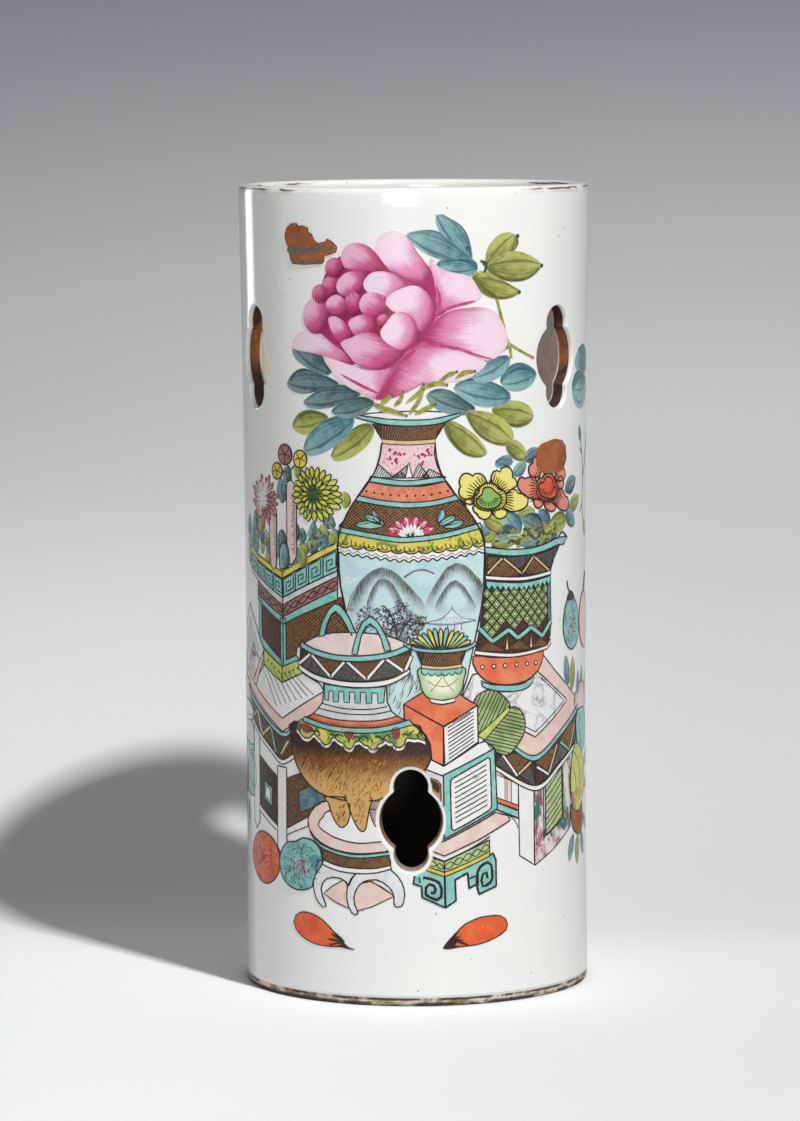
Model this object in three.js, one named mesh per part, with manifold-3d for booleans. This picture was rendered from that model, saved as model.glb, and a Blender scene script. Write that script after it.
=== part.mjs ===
// Porcelain hat stand: an open cylinder on a foot ring, pierced by six lobed windows.
// Millimetres, +Z up, origin at the centre of the foot's contact plane.
// Azimuth 0 is the front, facing -Y, and grows towards +X.
import * as THREE from 'three';
import { mergeVertices } from 'three/addons/utils/BufferGeometryUtils.js';
import Module from 'manifold-3d';

// Whole object
const HEIGHT = 285;
const RADIUS_FOOT = 61.4;
const RADIUS_WAIST = 60.8;
const RADIUS_RIM = 62.3;
const WALL = 5.8;

// Lip: rounded over from outside to inside, thinner than the wall below it
const LIP_WALL = 4.6;
const LIP_TAPER = 26;

// Foot: a bare band under the glaze edge, chamfered where it meets the table
const FOOT_BAND = 3.3;
const FOOT_CHAMFER = 0.9;
const FOOT_WIDTH = 9.5;
const FOOT_HEIGHT = 5;
const GLAZE_STEP = 0.3;

// Floor disc, seated on the foot's ledge and luted in with a coil of slip
const FLOOR_THICK = 6;
const FLOOR_EDGE = 0.8;
const SEAT_GAP = 0.3;
const COIL_RISE = 5;
const COIL_REACH = 5.5;
const COIL_FLAT = 0.8;

// Windows: a round body between a small lobe above and one below, with a sill that rises inwards
const WINDOW_BODY_RADIUS = 12.1;
const WINDOW_BODY_INSET = 0.8;
const WINDOW_LOBE_RADIUS = 6.2;
const WINDOW_LOBE_RISE = 11.9;
const WINDOW_NOTCH_RADIUS = 1.1;
const WINDOW_SILL_RISE = 1.2;
const WINDOW_EASE_OUT = 0.5;
const WINDOW_EASE_IN = 0.5;
const WINDOWS_IN_ROW = 3;
const UPPER_ROW_DROP = 60;
const UPPER_ROW_TURN = 54.4;
const LOWER_ROW_RISE = 65.1;
const LOWER_ROW_TURN = -2;

// Facets
const ROUND_STEPS = 96;
const HEIGHT_STEPS = 10;
const LIP_STEPS = 3;
const LOBE_STEPS = 4;
const NOTCH_STEPS = 2;
const BODY_STEPS = 6;
const EASE_STEPS = 2;
const COIL_STEPS = 5;
const CUTTER_OVERRUN = 4;

const wasm = await Module();
wasm.setup();

// The outside radius at a height: a shallow waist between the foot and the rim
function outsideRadius(z) {
  const t = z / HEIGHT;
  const foot = RADIUS_FOOT * (1 - t) * (1 - 2 * t);
  const waist = RADIUS_WAIST * 4 * t * (1 - t);
  const rim = RADIUS_RIM * t * (2 * t - 1);
  return foot + waist + rim;
}

// The wall's thickness at a height: even, then drawn thinner to the lip
function wallThickness(z) {
  const start = HEIGHT - LIP_TAPER;
  const t = Math.min(Math.max((z - start) / LIP_TAPER, 0), 1);
  return WALL + (LIP_WALL - WALL) * t * t * (3 - 2 * t);
}

function insideRadius(z) {
  return outsideRadius(z) - wallThickness(z);
}

// Revolves an outline of radius and height pairs about Z
function revolve(outline) {
  const points = outline.map(([radius, z]) => new THREE.Vector2(radius, z));
  const geometry = new THREE.LatheGeometry(points, ROUND_STEPS);
  geometry.rotateX(Math.PI / 2);
  return geometry;
}

// Makes a solid of a closed mesh, with its faces turned outwards
function solid(geometry) {
  geometry.deleteAttribute('normal');
  geometry.deleteAttribute('uv');
  const merged = mergeVertices(geometry, 1e-4);
  const build = (triVerts) => new wasm.Manifold(new wasm.Mesh({
    numProp: 3,
    vertProperties: new Float32Array(merged.attributes.position.array),
    triVerts,
  }));
  const triangles = new Uint32Array(merged.index.array);
  const made = build(triangles);
  if (made.volume() > 0) return made;
  for (let i = 0; i < triangles.length; i += 3) {
    const first = triangles[i];
    triangles[i] = triangles[i + 1];
    triangles[i + 1] = first;
  }
  return build(triangles);
}

// Turns a solid into a named mesh
function meshOf(name, made, material) {
  const mesh = made.getMesh();
  const geometry = new THREE.BufferGeometry();
  geometry.setAttribute('position', new THREE.BufferAttribute(new Float32Array(mesh.vertProperties), 3));
  geometry.setIndex(new THREE.BufferAttribute(new Uint32Array(mesh.triVerts), 1));
  geometry.computeVertexNormals();
  const node = new THREE.Mesh(geometry, material);
  node.name = name;
  return node;
}

// The tube's outline, from the foot's inner edge round the outside to the lip and down the bore
const footInside = RADIUS_FOOT - FOOT_WIDTH;
const ledgeTop = FOOT_HEIGHT - SEAT_GAP;
const boreFoot = RADIUS_FOOT - WALL;
const seatTop = FOOT_HEIGHT + FLOOR_THICK + SEAT_GAP + COIL_RISE + SEAT_GAP;

function wallOutline() {
  const outline = [];
  const bare = (z) => outsideRadius(z) - GLAZE_STEP;
  outline.push([footInside, 0]);
  outline.push([bare(0) - FOOT_CHAMFER, 0]);
  outline.push([bare(FOOT_CHAMFER), FOOT_CHAMFER]);
  outline.push([bare(FOOT_BAND), FOOT_BAND]);
  outline.push([outsideRadius(FOOT_BAND), FOOT_BAND + GLAZE_STEP]);

  const lipRadius = LIP_WALL / 2;
  const lipCentre = HEIGHT - lipRadius;
  const outsideStart = FOOT_BAND + GLAZE_STEP;
  for (let i = 1; i < HEIGHT_STEPS; i += 1) {
    const z = outsideStart + (lipCentre - outsideStart) * i / HEIGHT_STEPS;
    outline.push([outsideRadius(z), z]);
  }
  const lipMiddle = outsideRadius(lipCentre) - lipRadius;
  for (let i = 0; i <= 2 * LIP_STEPS; i += 1) {
    const angle = Math.PI * i / (2 * LIP_STEPS);
    outline.push([lipMiddle + lipRadius * Math.cos(angle), lipCentre + lipRadius * Math.sin(angle)]);
  }

  const taperStart = HEIGHT - LIP_TAPER;
  for (let i = 1; i <= LIP_STEPS; i += 1) {
    const z = lipCentre + (taperStart - lipCentre) * i / LIP_STEPS;
    outline.push([insideRadius(z), z]);
  }
  const boreSteps = HEIGHT_STEPS / 2;
  for (let i = 1; i < boreSteps; i += 1) {
    const z = taperStart + (seatTop - taperStart) * i / boreSteps;
    outline.push([insideRadius(z), z]);
  }
  outline.push([boreFoot, seatTop]);
  outline.push([boreFoot, ledgeTop]);
  outline.push([footInside, ledgeTop]);
  outline.push([footInside, 0]);
  return outline;
}

// Points on an arc about a centre, from one angle to another, without the last
function arc(centre, radius, from, to, steps) {
  const points = [];
  for (let i = 0; i < steps; i += 1) {
    const angle = from + (to - from) * i / steps;
    points.push([centre[0] + radius * Math.cos(angle), centre[1] + radius * Math.sin(angle)]);
  }
  return points;
}

// The middle of the rounding between lobe and body: it touches both from the clay's side
function notchCentre() {
  const body = WINDOW_BODY_RADIUS + WINDOW_NOTCH_RADIUS;
  const lobe = WINDOW_LOBE_RADIUS + WINDOW_NOTCH_RADIUS;
  const apart = Math.hypot(WINDOW_BODY_INSET, WINDOW_LOBE_RISE);
  const along = (apart * apart + body * body - lobe * lobe) / (2 * apart);
  const aside = Math.sqrt(body * body - along * along);
  const across = WINDOW_BODY_INSET / apart;
  const rise = WINDOW_LOBE_RISE / apart;
  return [
    -WINDOW_BODY_INSET + across * along + rise * aside,
    rise * along - across * aside,
  ];
}

// One window's outline, grown outwards by an amount, as [along the wall, up] pairs
function windowOutline(grow) {
  const notch = notchCentre();
  const lobeMiddle = [0, WINDOW_LOBE_RISE];
  const bodyMiddle = [-WINDOW_BODY_INSET, 0];
  const fromLobe = Math.atan2(notch[1] - lobeMiddle[1], notch[0] - lobeMiddle[0]);
  const fromBody = Math.atan2(notch[1] - bodyMiddle[1], notch[0] - bodyMiddle[0]);
  const round = WINDOW_NOTCH_RADIUS - grow;
  const upper = [
    ...arc(lobeMiddle, WINDOW_LOBE_RADIUS + grow, Math.PI / 2, fromLobe, LOBE_STEPS),
    ...arc(notch, round, fromLobe + Math.PI, fromBody + Math.PI, NOTCH_STEPS),
    ...arc(bodyMiddle, WINDOW_BODY_RADIUS + grow, fromBody, 0, BODY_STEPS),
  ];
  const widest = [[WINDOW_BODY_RADIUS + grow - WINDOW_BODY_INSET, 0]];
  const lower = upper.slice().reverse().map(([u, v]) => [u, -v]);
  const right = [...upper, ...widest, ...lower];
  const left = right.slice(1, -1).reverse().map(([u, v]) => [-u, v]);
  return [...right, ...left];
}

// The stations of a window's cutter, from inside the bore out: depth below the outer face and growth
function cutterStations(thickness) {
  const stations = [[thickness + CUTTER_OVERRUN, WINDOW_EASE_IN]];
  for (let i = 0; i <= EASE_STEPS; i += 1) {
    const angle = Math.PI / 2 * i / EASE_STEPS;
    const depth = thickness - WINDOW_EASE_IN * (1 - Math.cos(angle));
    stations.push([depth, WINDOW_EASE_IN * (1 - Math.sin(angle))]);
  }
  for (let i = 0; i <= EASE_STEPS; i += 1) {
    const angle = Math.PI / 2 * i / EASE_STEPS;
    const depth = WINDOW_EASE_OUT * (1 - Math.sin(angle));
    stations.push([depth, WINDOW_EASE_OUT * (1 - Math.cos(angle))]);
  }
  stations.push([-CUTTER_OVERRUN, WINDOW_EASE_OUT]);
  return stations;
}

// A window's cutter: a loft of its outlines, wrapped radially through the wall
function windowCutter(turn, height) {
  const positions = [];
  const face = outsideRadius(height);
  const thickness = wallThickness(height);
  const stations = cutterStations(thickness);
  const foot = WINDOW_LOBE_RISE + WINDOW_LOBE_RADIUS;
  for (const [depth, grow] of stations) {
    const sill = WINDOW_SILL_RISE * Math.min(Math.max(depth / thickness, 0), 1);
    for (const [u, v] of windowOutline(grow)) {
      const azimuth = THREE.MathUtils.degToRad(turn) + u / face;
      const z = height + v + sill * Math.max(-v, 0) / foot;
      const radius = outsideRadius(z) - depth;
      positions.push(radius * Math.sin(azimuth), -radius * Math.cos(azimuth), z);
    }
  }
  const ring = windowOutline(0).length;
  const index = [];
  for (let s = 0; s < stations.length - 1; s += 1) {
    for (let i = 0; i < ring; i += 1) {
      const a = s * ring + i;
      const b = s * ring + (i + 1) % ring;
      index.push(a, b, a + ring);
      index.push(b, b + ring, a + ring);
    }
  }
  const shape = windowOutline(0).map(([u, v]) => new THREE.Vector2(u, v));
  const last = (stations.length - 1) * ring;
  for (const [a, b, c] of THREE.ShapeUtils.triangulateShape(shape, [])) {
    index.push(a, b, c);
    index.push(last + c, last + b, last + a);
  }
  const geometry = new THREE.BufferGeometry();
  geometry.setAttribute('position', new THREE.Float32BufferAttribute(positions, 3));
  geometry.setIndex(index);
  return solid(geometry);
}

// Both rows of windows, the lower one turned half a step from the upper
function windowCutters() {
  const cutters = [];
  const step = 360 / WINDOWS_IN_ROW;
  for (let i = 0; i < WINDOWS_IN_ROW; i += 1) {
    cutters.push(windowCutter(UPPER_ROW_TURN + i * step, HEIGHT - UPPER_ROW_DROP));
    cutters.push(windowCutter(LOWER_ROW_TURN + i * step, LOWER_ROW_RISE));
  }
  return cutters;
}

function makeWall() {
  let wall = solid(revolve(wallOutline()));
  for (const cutter of windowCutters()) {
    wall = wall.subtract(cutter);
  }
  return wall;
}

// The floor disc, its rim eased so that it drops into the bore
function makeFloor() {
  const radius = boreFoot - SEAT_GAP;
  const top = FOOT_HEIGHT + FLOOR_THICK;
  return solid(revolve([
    [0, FOOT_HEIGHT],
    [radius - FLOOR_EDGE, FOOT_HEIGHT],
    [radius, FOOT_HEIGHT + FLOOR_EDGE],
    [radius, top],
    [0, top],
  ]));
}

// The coil of slip pressed into the angle between the floor and the bore, smoothed hollow
function makeCoil() {
  const outer = boreFoot - SEAT_GAP;
  const low = FOOT_HEIGHT + FLOOR_THICK + SEAT_GAP;
  const outline = [[outer, low], [outer, low + COIL_RISE]];
  const reach = COIL_REACH - COIL_FLAT;
  const rise = COIL_RISE - COIL_FLAT;
  for (let i = 0; i <= COIL_STEPS; i += 1) {
    const angle = Math.PI / 2 * i / COIL_STEPS;
    const radius = outer - COIL_REACH + reach * Math.cos(angle);
    const z = low + COIL_RISE - rise * Math.sin(angle);
    outline.push([radius, z]);
  }
  outline.push([outer - COIL_REACH, low]);
  outline.push([outer, low]);
  return solid(revolve(outline));
}

const glaze = new THREE.MeshStandardMaterial({ color: 0xeceeea, roughness: 0.12, metalness: 0 });
const floorGlaze = new THREE.MeshStandardMaterial({ color: 0xd9d6cc, roughness: 0.3, metalness: 0 });
const slip = new THREE.MeshStandardMaterial({ color: 0xb9a98c, roughness: 0.85, metalness: 0 });
glaze.name = 'glaze';
floorGlaze.name = 'floor_glaze';
slip.name = 'slip';

const hatStand = new THREE.Group();
hatStand.name = 'hat_stand';
hatStand.add(meshOf('wall', makeWall(), glaze));
hatStand.add(meshOf('floor_disc', makeFloor(), floorGlaze));
hatStand.add(meshOf('luting_coil', makeCoil(), slip));

export default hatStand;
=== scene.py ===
# %% [markdown]
# # A painted porcelain hat stand
# The CAD frame gives a thrown porcelain tube with six lobed windows, a floor disc and its luting coil.
# This lesson dresses it: a glazed skin over the tube, the bare clay at its cut edges, and a scene in
# overglaze enamels, drawn flat in millimetres as on the unrolled wall and then wrapped round it.

# %% Load the frame
import math
import random

import bmesh
import bpy
from mathutils import Matrix, Vector
from mathutils.geometry import delaunay_2d_cdt, tessellate_polygon


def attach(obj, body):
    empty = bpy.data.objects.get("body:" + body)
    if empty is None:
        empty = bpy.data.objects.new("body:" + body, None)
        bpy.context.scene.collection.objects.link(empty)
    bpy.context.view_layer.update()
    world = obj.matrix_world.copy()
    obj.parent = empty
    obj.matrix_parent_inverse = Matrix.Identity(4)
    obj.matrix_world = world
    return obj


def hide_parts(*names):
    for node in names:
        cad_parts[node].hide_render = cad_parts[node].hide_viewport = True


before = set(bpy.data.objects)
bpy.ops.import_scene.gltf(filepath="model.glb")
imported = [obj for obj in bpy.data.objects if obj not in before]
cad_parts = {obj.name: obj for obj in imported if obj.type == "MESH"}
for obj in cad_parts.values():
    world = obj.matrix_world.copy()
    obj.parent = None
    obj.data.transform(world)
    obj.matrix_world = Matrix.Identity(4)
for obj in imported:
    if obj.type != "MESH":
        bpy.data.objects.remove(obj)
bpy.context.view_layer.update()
MM = 0.001


def select_only(*pieces):
    """Selects these pieces alone and makes the first one active."""
    bpy.ops.object.select_all(action="DESELECT")
    for piece in pieces:
        piece.select_set(True)
    bpy.context.view_layer.objects.active = pieces[0]


# %% [markdown]
# The camera stands a little above the rim, far back with a long lens, as in the photograph. Its place
# was fitted to points on the tube's outline and on the ellipses of rim and foot.

# %% Camera
CAMERA_PLACE = Vector((-3.5, -1752.5, 329.1)) * MM
CAMERA_DOWN = math.radians(5.832)
CAMERA_SIDE = math.radians(-0.065)
CAMERA_ROLL = math.radians(-0.311)
FRAME_HEIGHT_PX = 1121
FOCAL_PX = 4917.1
SENSOR = 36.0


def place_camera():
    """Adds the camera and points it along the photograph's line of sight."""
    forward = Vector((
        math.sin(CAMERA_SIDE) * math.cos(CAMERA_DOWN),
        math.cos(CAMERA_SIDE) * math.cos(CAMERA_DOWN),
        -math.sin(CAMERA_DOWN),
    ))
    level = Vector((math.cos(CAMERA_SIDE), -math.sin(CAMERA_SIDE), 0))
    upright = level.cross(forward)
    right = level * math.cos(CAMERA_ROLL) + upright * math.sin(CAMERA_ROLL)
    up = upright * math.cos(CAMERA_ROLL) - level * math.sin(CAMERA_ROLL)
    bpy.ops.object.camera_add()
    camera = bpy.context.object
    camera.name = "camera"
    turn = Matrix((right, up, -forward)).transposed().to_4x4()
    camera.matrix_world = Matrix.Translation(CAMERA_PLACE) @ turn
    camera.data.sensor_width = SENSOR
    camera.data.lens = FOCAL_PX / FRAME_HEIGHT_PX * SENSOR
    camera.data.clip_end = 50
    bpy.context.scene.camera = camera
    return camera


camera = place_camera()
print("lens:", round(camera.data.lens, 1), "mm")

# %% [markdown]
# Every finish below is a small sum on a few masks, so the maths is written as Python. `Wire` wraps
# one socket and turns +, -, * and so on into Math nodes; `Finish` holds a material's node tree.


# %% Shader maths
class Wire:
    """One output socket, with arithmetic that adds Math nodes."""

    def __init__(self, finish, socket):
        self.finish = finish
        self.socket = socket

    def _maths(self, operation, *values):
        return self.finish.node("ShaderNodeMath", {"operation": operation}, *values)

    def __add__(self, other):
        return self._maths("ADD", self, other)

    __radd__ = __add__

    def __sub__(self, other):
        return self._maths("SUBTRACT", self, other)

    def __rsub__(self, other):
        return self._maths("SUBTRACT", other, self)

    def __mul__(self, other):
        return self._maths("MULTIPLY", self, other)

    __rmul__ = __mul__

    def __truediv__(self, other):
        return self._maths("DIVIDE", self, other)

    def sin(self):
        return self._maths("SINE", self)

    def abs(self):
        return self._maths("ABSOLUTE", self)

    def sqrt(self):
        return self._maths("SQRT", self)

    def at_least(self, other):
        return self._maths("MAXIMUM", self, other)

    def at_most(self, other):
        return self._maths("MINIMUM", self, other)

    def ramp(self, low, high):
        """Rises smoothly from 0 at low to 1 at high, or falls where low is the larger."""
        settings = {"interpolation_type": "SMOOTHSTEP"}
        if low < high:
            return self.finish.node("ShaderNodeMapRange", settings, Value=self,
                                    **{"From Min": low, "From Max": high})
        return self.finish.node("ShaderNodeMapRange", settings, Value=self,
                                **{"From Min": high, "From Max": low, "To Min": 1.0, "To Max": 0.0})


class Finish:
    """A material whose nodes are added by calls."""

    def __init__(self, name, roughness=0.3, specular=0.5):
        self.material = bpy.data.materials.new(name)
        self.material.use_nodes = True
        self.tree = self.material.node_tree
        self.shader = self.tree.nodes["Principled BSDF"]
        self.shader.inputs["Roughness"].default_value = roughness
        self.shader.inputs["Specular IOR Level"].default_value = specular

    def node(self, kind, settings=None, *values, **named):
        """Adds a node, sets it, fills its sockets and returns its first live output."""
        made = self.tree.nodes.new(kind)
        for key, value in (settings or {}).items():
            setattr(made, key, value)
        for socket, value in zip(made.inputs, values):
            self.fill(socket, value)
        for key, value in named.items():
            live = [s for s in made.inputs if s.name == key and s.enabled]
            self.fill(live[0], value)
        return Wire(self, next(s for s in made.outputs if s.enabled))

    def fill(self, socket, value):
        if isinstance(value, Wire):
            self.tree.links.new(value.socket, socket)
        else:
            socket.default_value = value

    def split(self, vector):
        """The three parts of a vector."""
        made = self.tree.nodes.new("ShaderNodeSeparateXYZ")
        self.fill(made.inputs[0], vector)
        return [Wire(self, s) for s in made.outputs]

    def place(self):
        """Object coordinates, turned from metres to millimetres in the stand's own frame."""
        made = self.tree.nodes.new("ShaderNodeTexCoord")
        metres = Wire(self, made.outputs["Object"])
        return self.node("ShaderNodeVectorMath", {"operation": "SCALE"}, Vector=metres, Scale=1 / MM)

    def chart(self, name):
        """The two parts of one of the piece's UV maps."""
        made = self.tree.nodes.new("ShaderNodeUVMap")
        made.uv_map = name
        return self.split(Wire(self, made.outputs["UV"]))[:2]

    def vector(self, x, y, z=0.0):
        return self.node("ShaderNodeCombineXYZ", None, x, y, z)

    def noise(self, vector, scale, detail=3.0, roughness=0.5, distortion=0.0):
        return self.node("ShaderNodeTexNoise", None, Vector=vector, Scale=scale, Detail=detail,
                         Roughness=roughness, Distortion=distortion)

    def cells(self, vector, scale):
        return self.node("ShaderNodeTexVoronoi", None, Vector=vector, Scale=scale)

    def mix(self, factor, low, high):
        """Mixes two colours."""
        colour = [v if isinstance(v, Wire) else (*v, 1.0) for v in (low, high)]
        return self.node("ShaderNodeMix", {"data_type": "RGBA"}, Factor=factor, A=colour[0], B=colour[1])

    def colour(self, wire):
        self.fill(self.shader.inputs["Base Color"], wire)

    def roughness(self, wire):
        self.fill(self.shader.inputs["Roughness"], wire)

    def relief(self, height, strength, distance):
        bump = self.node("ShaderNodeBump", None, Height=height, Strength=strength, Distance=distance)
        self.fill(self.shader.inputs["Normal"], bump)


def srgb(red, green, blue):
    """A colour given as it looks on a screen, 0 to 255, turned linear for a socket."""
    def linear(part):
        part = part / 255
        return part / 12.92 if part <= 0.04045 else ((part + 0.055) / 1.055) ** 2.4
    return (linear(red), linear(green), linear(blue))


print("a screen white is", srgb(255, 255, 255))

# %% [markdown]
# The stand is on a pale floor, and a sheet of paper curves up close behind it. A lamp at the front on
# the right throws the shadow that runs back over the floor and up the paper: its direction and the
# paper's bend come from a coarse search for that shadow's outline. The paper shows its front only, so
# that it hides nothing from behind. A small lamp at the left is seen in the gloss alone, as the
# bright upright streak, and a wide one at the front on the left fills the porcelain but not the paper.

# %% Floor and backdrop
FLOOR_HALF = 3.0
FLOOR_DROP = 0.0002
SWEEP_HALF_WIDTH = 2.2
SWEEP_BEND_START = 0.10
SWEEP_BEND_RADIUS = 0.15
SWEEP_TOP = 2.0


def polyline(name, points, closed=False):
    """Draws a straight-sided curve through 3-D points and returns it as a mesh object."""
    curve = bpy.data.curves.new(name, "CURVE")
    curve.dimensions = "3D"
    spline = curve.splines.new("POLY")
    spline.points.add(len(points) - 1)
    for knot, point in zip(spline.points, points):
        knot.co = (*point, 1.0)
    spline.use_cyclic_u = closed
    drawn = bpy.data.objects.new(name, curve)
    bpy.context.collection.objects.link(drawn)
    select_only(drawn)
    bpy.ops.object.convert(target="MESH")
    return bpy.context.object


def extruded(name, section):
    """Extrudes a section sideways into one smooth sheet."""
    sheet = polyline(name, [(-section[-1], y, z - FLOOR_DROP) for y, z in section[:-1]])
    bpy.ops.object.mode_set(mode="EDIT")
    bpy.ops.mesh.select_all(action="SELECT")
    bpy.ops.mesh.extrude_region_move(TRANSFORM_OT_translate={"value": (2 * section[-1], 0, 0)})
    bpy.ops.object.mode_set(mode="OBJECT")
    bpy.ops.object.shade_smooth()
    return sheet


def paper_finish(name, one_sided):
    """White paper with painted shade up the backdrop and to its sides, and painted light as the camera sees
    it.
    """
    paper = Finish(name, roughness=0.9, specular=0.05)
    x, y, height = paper.split(paper.place())
    # Painted shade: the paper greys towards the back and darkens up the backdrop and a little to its sides.
    rise = height.ramp(90.0, 470.0)
    paper_with_painted_back_shade = paper.mix(y.ramp(20.0, 170.0), srgb(249, 250, 251), srgb(228, 229, 230))
    tone = paper.mix(rise, paper_with_painted_back_shade, srgb(102, 101, 108))
    aside = (x - 30.0).abs().ramp(20.0, 420.0) * height.ramp(10.0, 200.0)
    tone = paper.mix(aside * 0.25, tone, srgb(120, 120, 126))
    rays = paper.tree.nodes.new("ShaderNodeLightPath")
    seen = Wire(paper, rays.outputs["Is Camera Ray"])
    # Painted light: the paper looks brighter to the camera than in the light it throws, and low down it is
    # lighter on the left and darker on the right.
    painted_light_gain = (0.9 + 0.25 * seen) * (1 + height.ramp(190.0, 110.0) * (0.08 - 0.2 * x.ramp(-130.0, 150.0)))
    paper.colour(paper.node("ShaderNodeVectorMath", {"operation": "MULTIPLY"}, tone,
                            paper.vector(painted_light_gain, painted_light_gain, painted_light_gain)))
    if one_sided:
        made = paper.tree.nodes.new("ShaderNodeNewGeometry")
        paper.fill(paper.shader.inputs["Alpha"], 1 - Wire(paper, made.outputs["Backfacing"]))
    return paper.material


def make_set():
    """The floor, and the paper behind the stand."""
    bend = [(SWEEP_BEND_START + SWEEP_BEND_RADIUS * math.sin(a), SWEEP_BEND_RADIUS * (1 - math.cos(a)))
            for a in (math.pi / 2 * step / 24 for step in range(25))]
    top = (SWEEP_BEND_START + SWEEP_BEND_RADIUS, SWEEP_TOP)
    floor = extruded("floor", [(-FLOOR_HALF, 0.0), (FLOOR_HALF, 0.0), FLOOR_HALF])
    floor.data.materials.append(paper_finish("floor_paper", False))
    sweep = extruded("backdrop", [top, *reversed(bend), SWEEP_HALF_WIDTH])
    sweep.location.z = FLOOR_DROP / 2
    sweep.data.materials.append(paper_finish("backdrop_paper", True))
    sweep.visible_shadow = False
    return floor, sweep


floor, sweep = make_set()
print("the backdrop's front looks along", tuple(round(v, 2) for v in sweep.data.polygons[0].normal))

# %% Lamps
WORLD_LIGHT = 0.1
WORLD_SEEN = 0.8
AIM_HEIGHT = 0.14
KEY_TURN = math.radians(32.0)
KEY_RISE = math.radians(56.0)
KEY_DISTANCE = 2.2
KEY_SIDE, KEY_POWER = 0.11, 36.5
FILL_PLACE = (-0.25, -1.75, 0.55)
FILL_SIDE, FILL_POWER = 0.7, 8.4
STREAK_PLACE, STREAK_AIM = (-0.272, 0.225, 0.28), (-0.057, -0.021, 0.28)
STREAK_WIDTH, STREAK_HEIGHT, STREAK_POWER = 0.075, 0.14, 0.13


def softbox(name, place, aim, width, height, power):
    """Adds a rectangular lamp that faces its aim."""
    bpy.ops.object.light_add(type="AREA", location=place)
    lamp = bpy.context.object
    lamp.name = name
    lamp.data.shape = "RECTANGLE"
    lamp.data.size = width
    lamp.data.size_y = height
    lamp.data.energy = power
    lamp.rotation_euler = (Vector(aim) - Vector(place)).to_track_quat("-Z", "Y").to_euler()
    return lamp


def light_the_set():
    """Key, fill and streak lamps and a level world, whose background the camera sees as a pale wall."""
    level = KEY_DISTANCE * math.cos(KEY_RISE)
    key_place = (level * math.sin(KEY_TURN), -level * math.cos(KEY_TURN),
                 AIM_HEIGHT + KEY_DISTANCE * math.sin(KEY_RISE))
    aim = (0, 0, AIM_HEIGHT)
    softbox("key_softbox", key_place, aim, KEY_SIDE, KEY_SIDE, KEY_POWER)
    fill = softbox("fill_softbox", FILL_PLACE, aim, FILL_SIDE, FILL_SIDE, FILL_POWER)
    fill.light_linking.receiver_collection = bpy.data.collections.new("not_filled")
    for sheet in (floor, sweep):
        fill.light_linking.receiver_collection.objects.link(sheet)
    for linked in fill.light_linking.receiver_collection.collection_objects:
        linked.light_linking.link_state = "EXCLUDE"
    streak = softbox("streak_lamp", STREAK_PLACE, STREAK_AIM, STREAK_WIDTH, STREAK_HEIGHT, STREAK_POWER)
    streak.visible_diffuse = False
    world = bpy.data.worlds.new("studio")
    bpy.context.scene.world = world
    world.use_nodes = True
    sky = world.node_tree.nodes["Background"]
    sky.inputs["Color"].default_value = (1.0, 1.0, 1.0, 1.0)
    rays = world.node_tree.nodes.new("ShaderNodeLightPath")
    level = world.node_tree.nodes.new("ShaderNodeMapRange")
    level.inputs["To Min"].default_value = WORLD_LIGHT
    level.inputs["To Max"].default_value = WORLD_SEEN
    seen = rays.outputs["Is Camera Ray"]
    for ray in ("Is Glossy Ray", "Is Transmission Ray"):
        either = world.node_tree.nodes.new("ShaderNodeMath")
        either.operation = "MAXIMUM"
        world.node_tree.links.new(seen, either.inputs[0])
        world.node_tree.links.new(rays.outputs[ray], either.inputs[1])
        seen = either.outputs[0]
    world.node_tree.links.new(seen, level.inputs["Value"])
    world.node_tree.links.new(level.outputs["Result"], sky.inputs["Strength"])
    bpy.context.scene.view_settings.view_transform = "Standard"


light_the_set()

# %% [markdown]
# The tube repeats the CAD's driving sizes, because glaze needs a smoother surface than a frame made for
# physics. Its outline is spun round the axis in 256 steps, so the gloss runs over it without facets.

# %% The tube's sizes
HEIGHT = 285.0
RADIUS_FOOT = 61.4
RADIUS_WAIST = 60.8
RADIUS_RIM = 62.3
WALL = 5.8
LIP_WALL = 4.6
LIP_TAPER = 26.0
FOOT_BAND = 3.3
FOOT_CHAMFER = 0.9
FOOT_WIDTH = 9.5
GLAZE_STEP = 0.3
LEDGE_TOP = 4.7
SEAT_TOP = 16.6
SPIN_STEPS = 256


def outside_radius(z):
    """The shallow waist between foot and rim, in millimetres."""
    t = z / HEIGHT
    return (RADIUS_FOOT * (1 - t) * (1 - 2 * t) + RADIUS_WAIST * 4 * t * (1 - t)
            + RADIUS_RIM * t * (2 * t - 1))


def wall_thickness(z):
    """Even, then drawn thinner to the lip."""
    t = min(max((z - HEIGHT + LIP_TAPER) / LIP_TAPER, 0), 1)
    return WALL + (LIP_WALL - WALL) * t * t * (3 - 2 * t)


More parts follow.
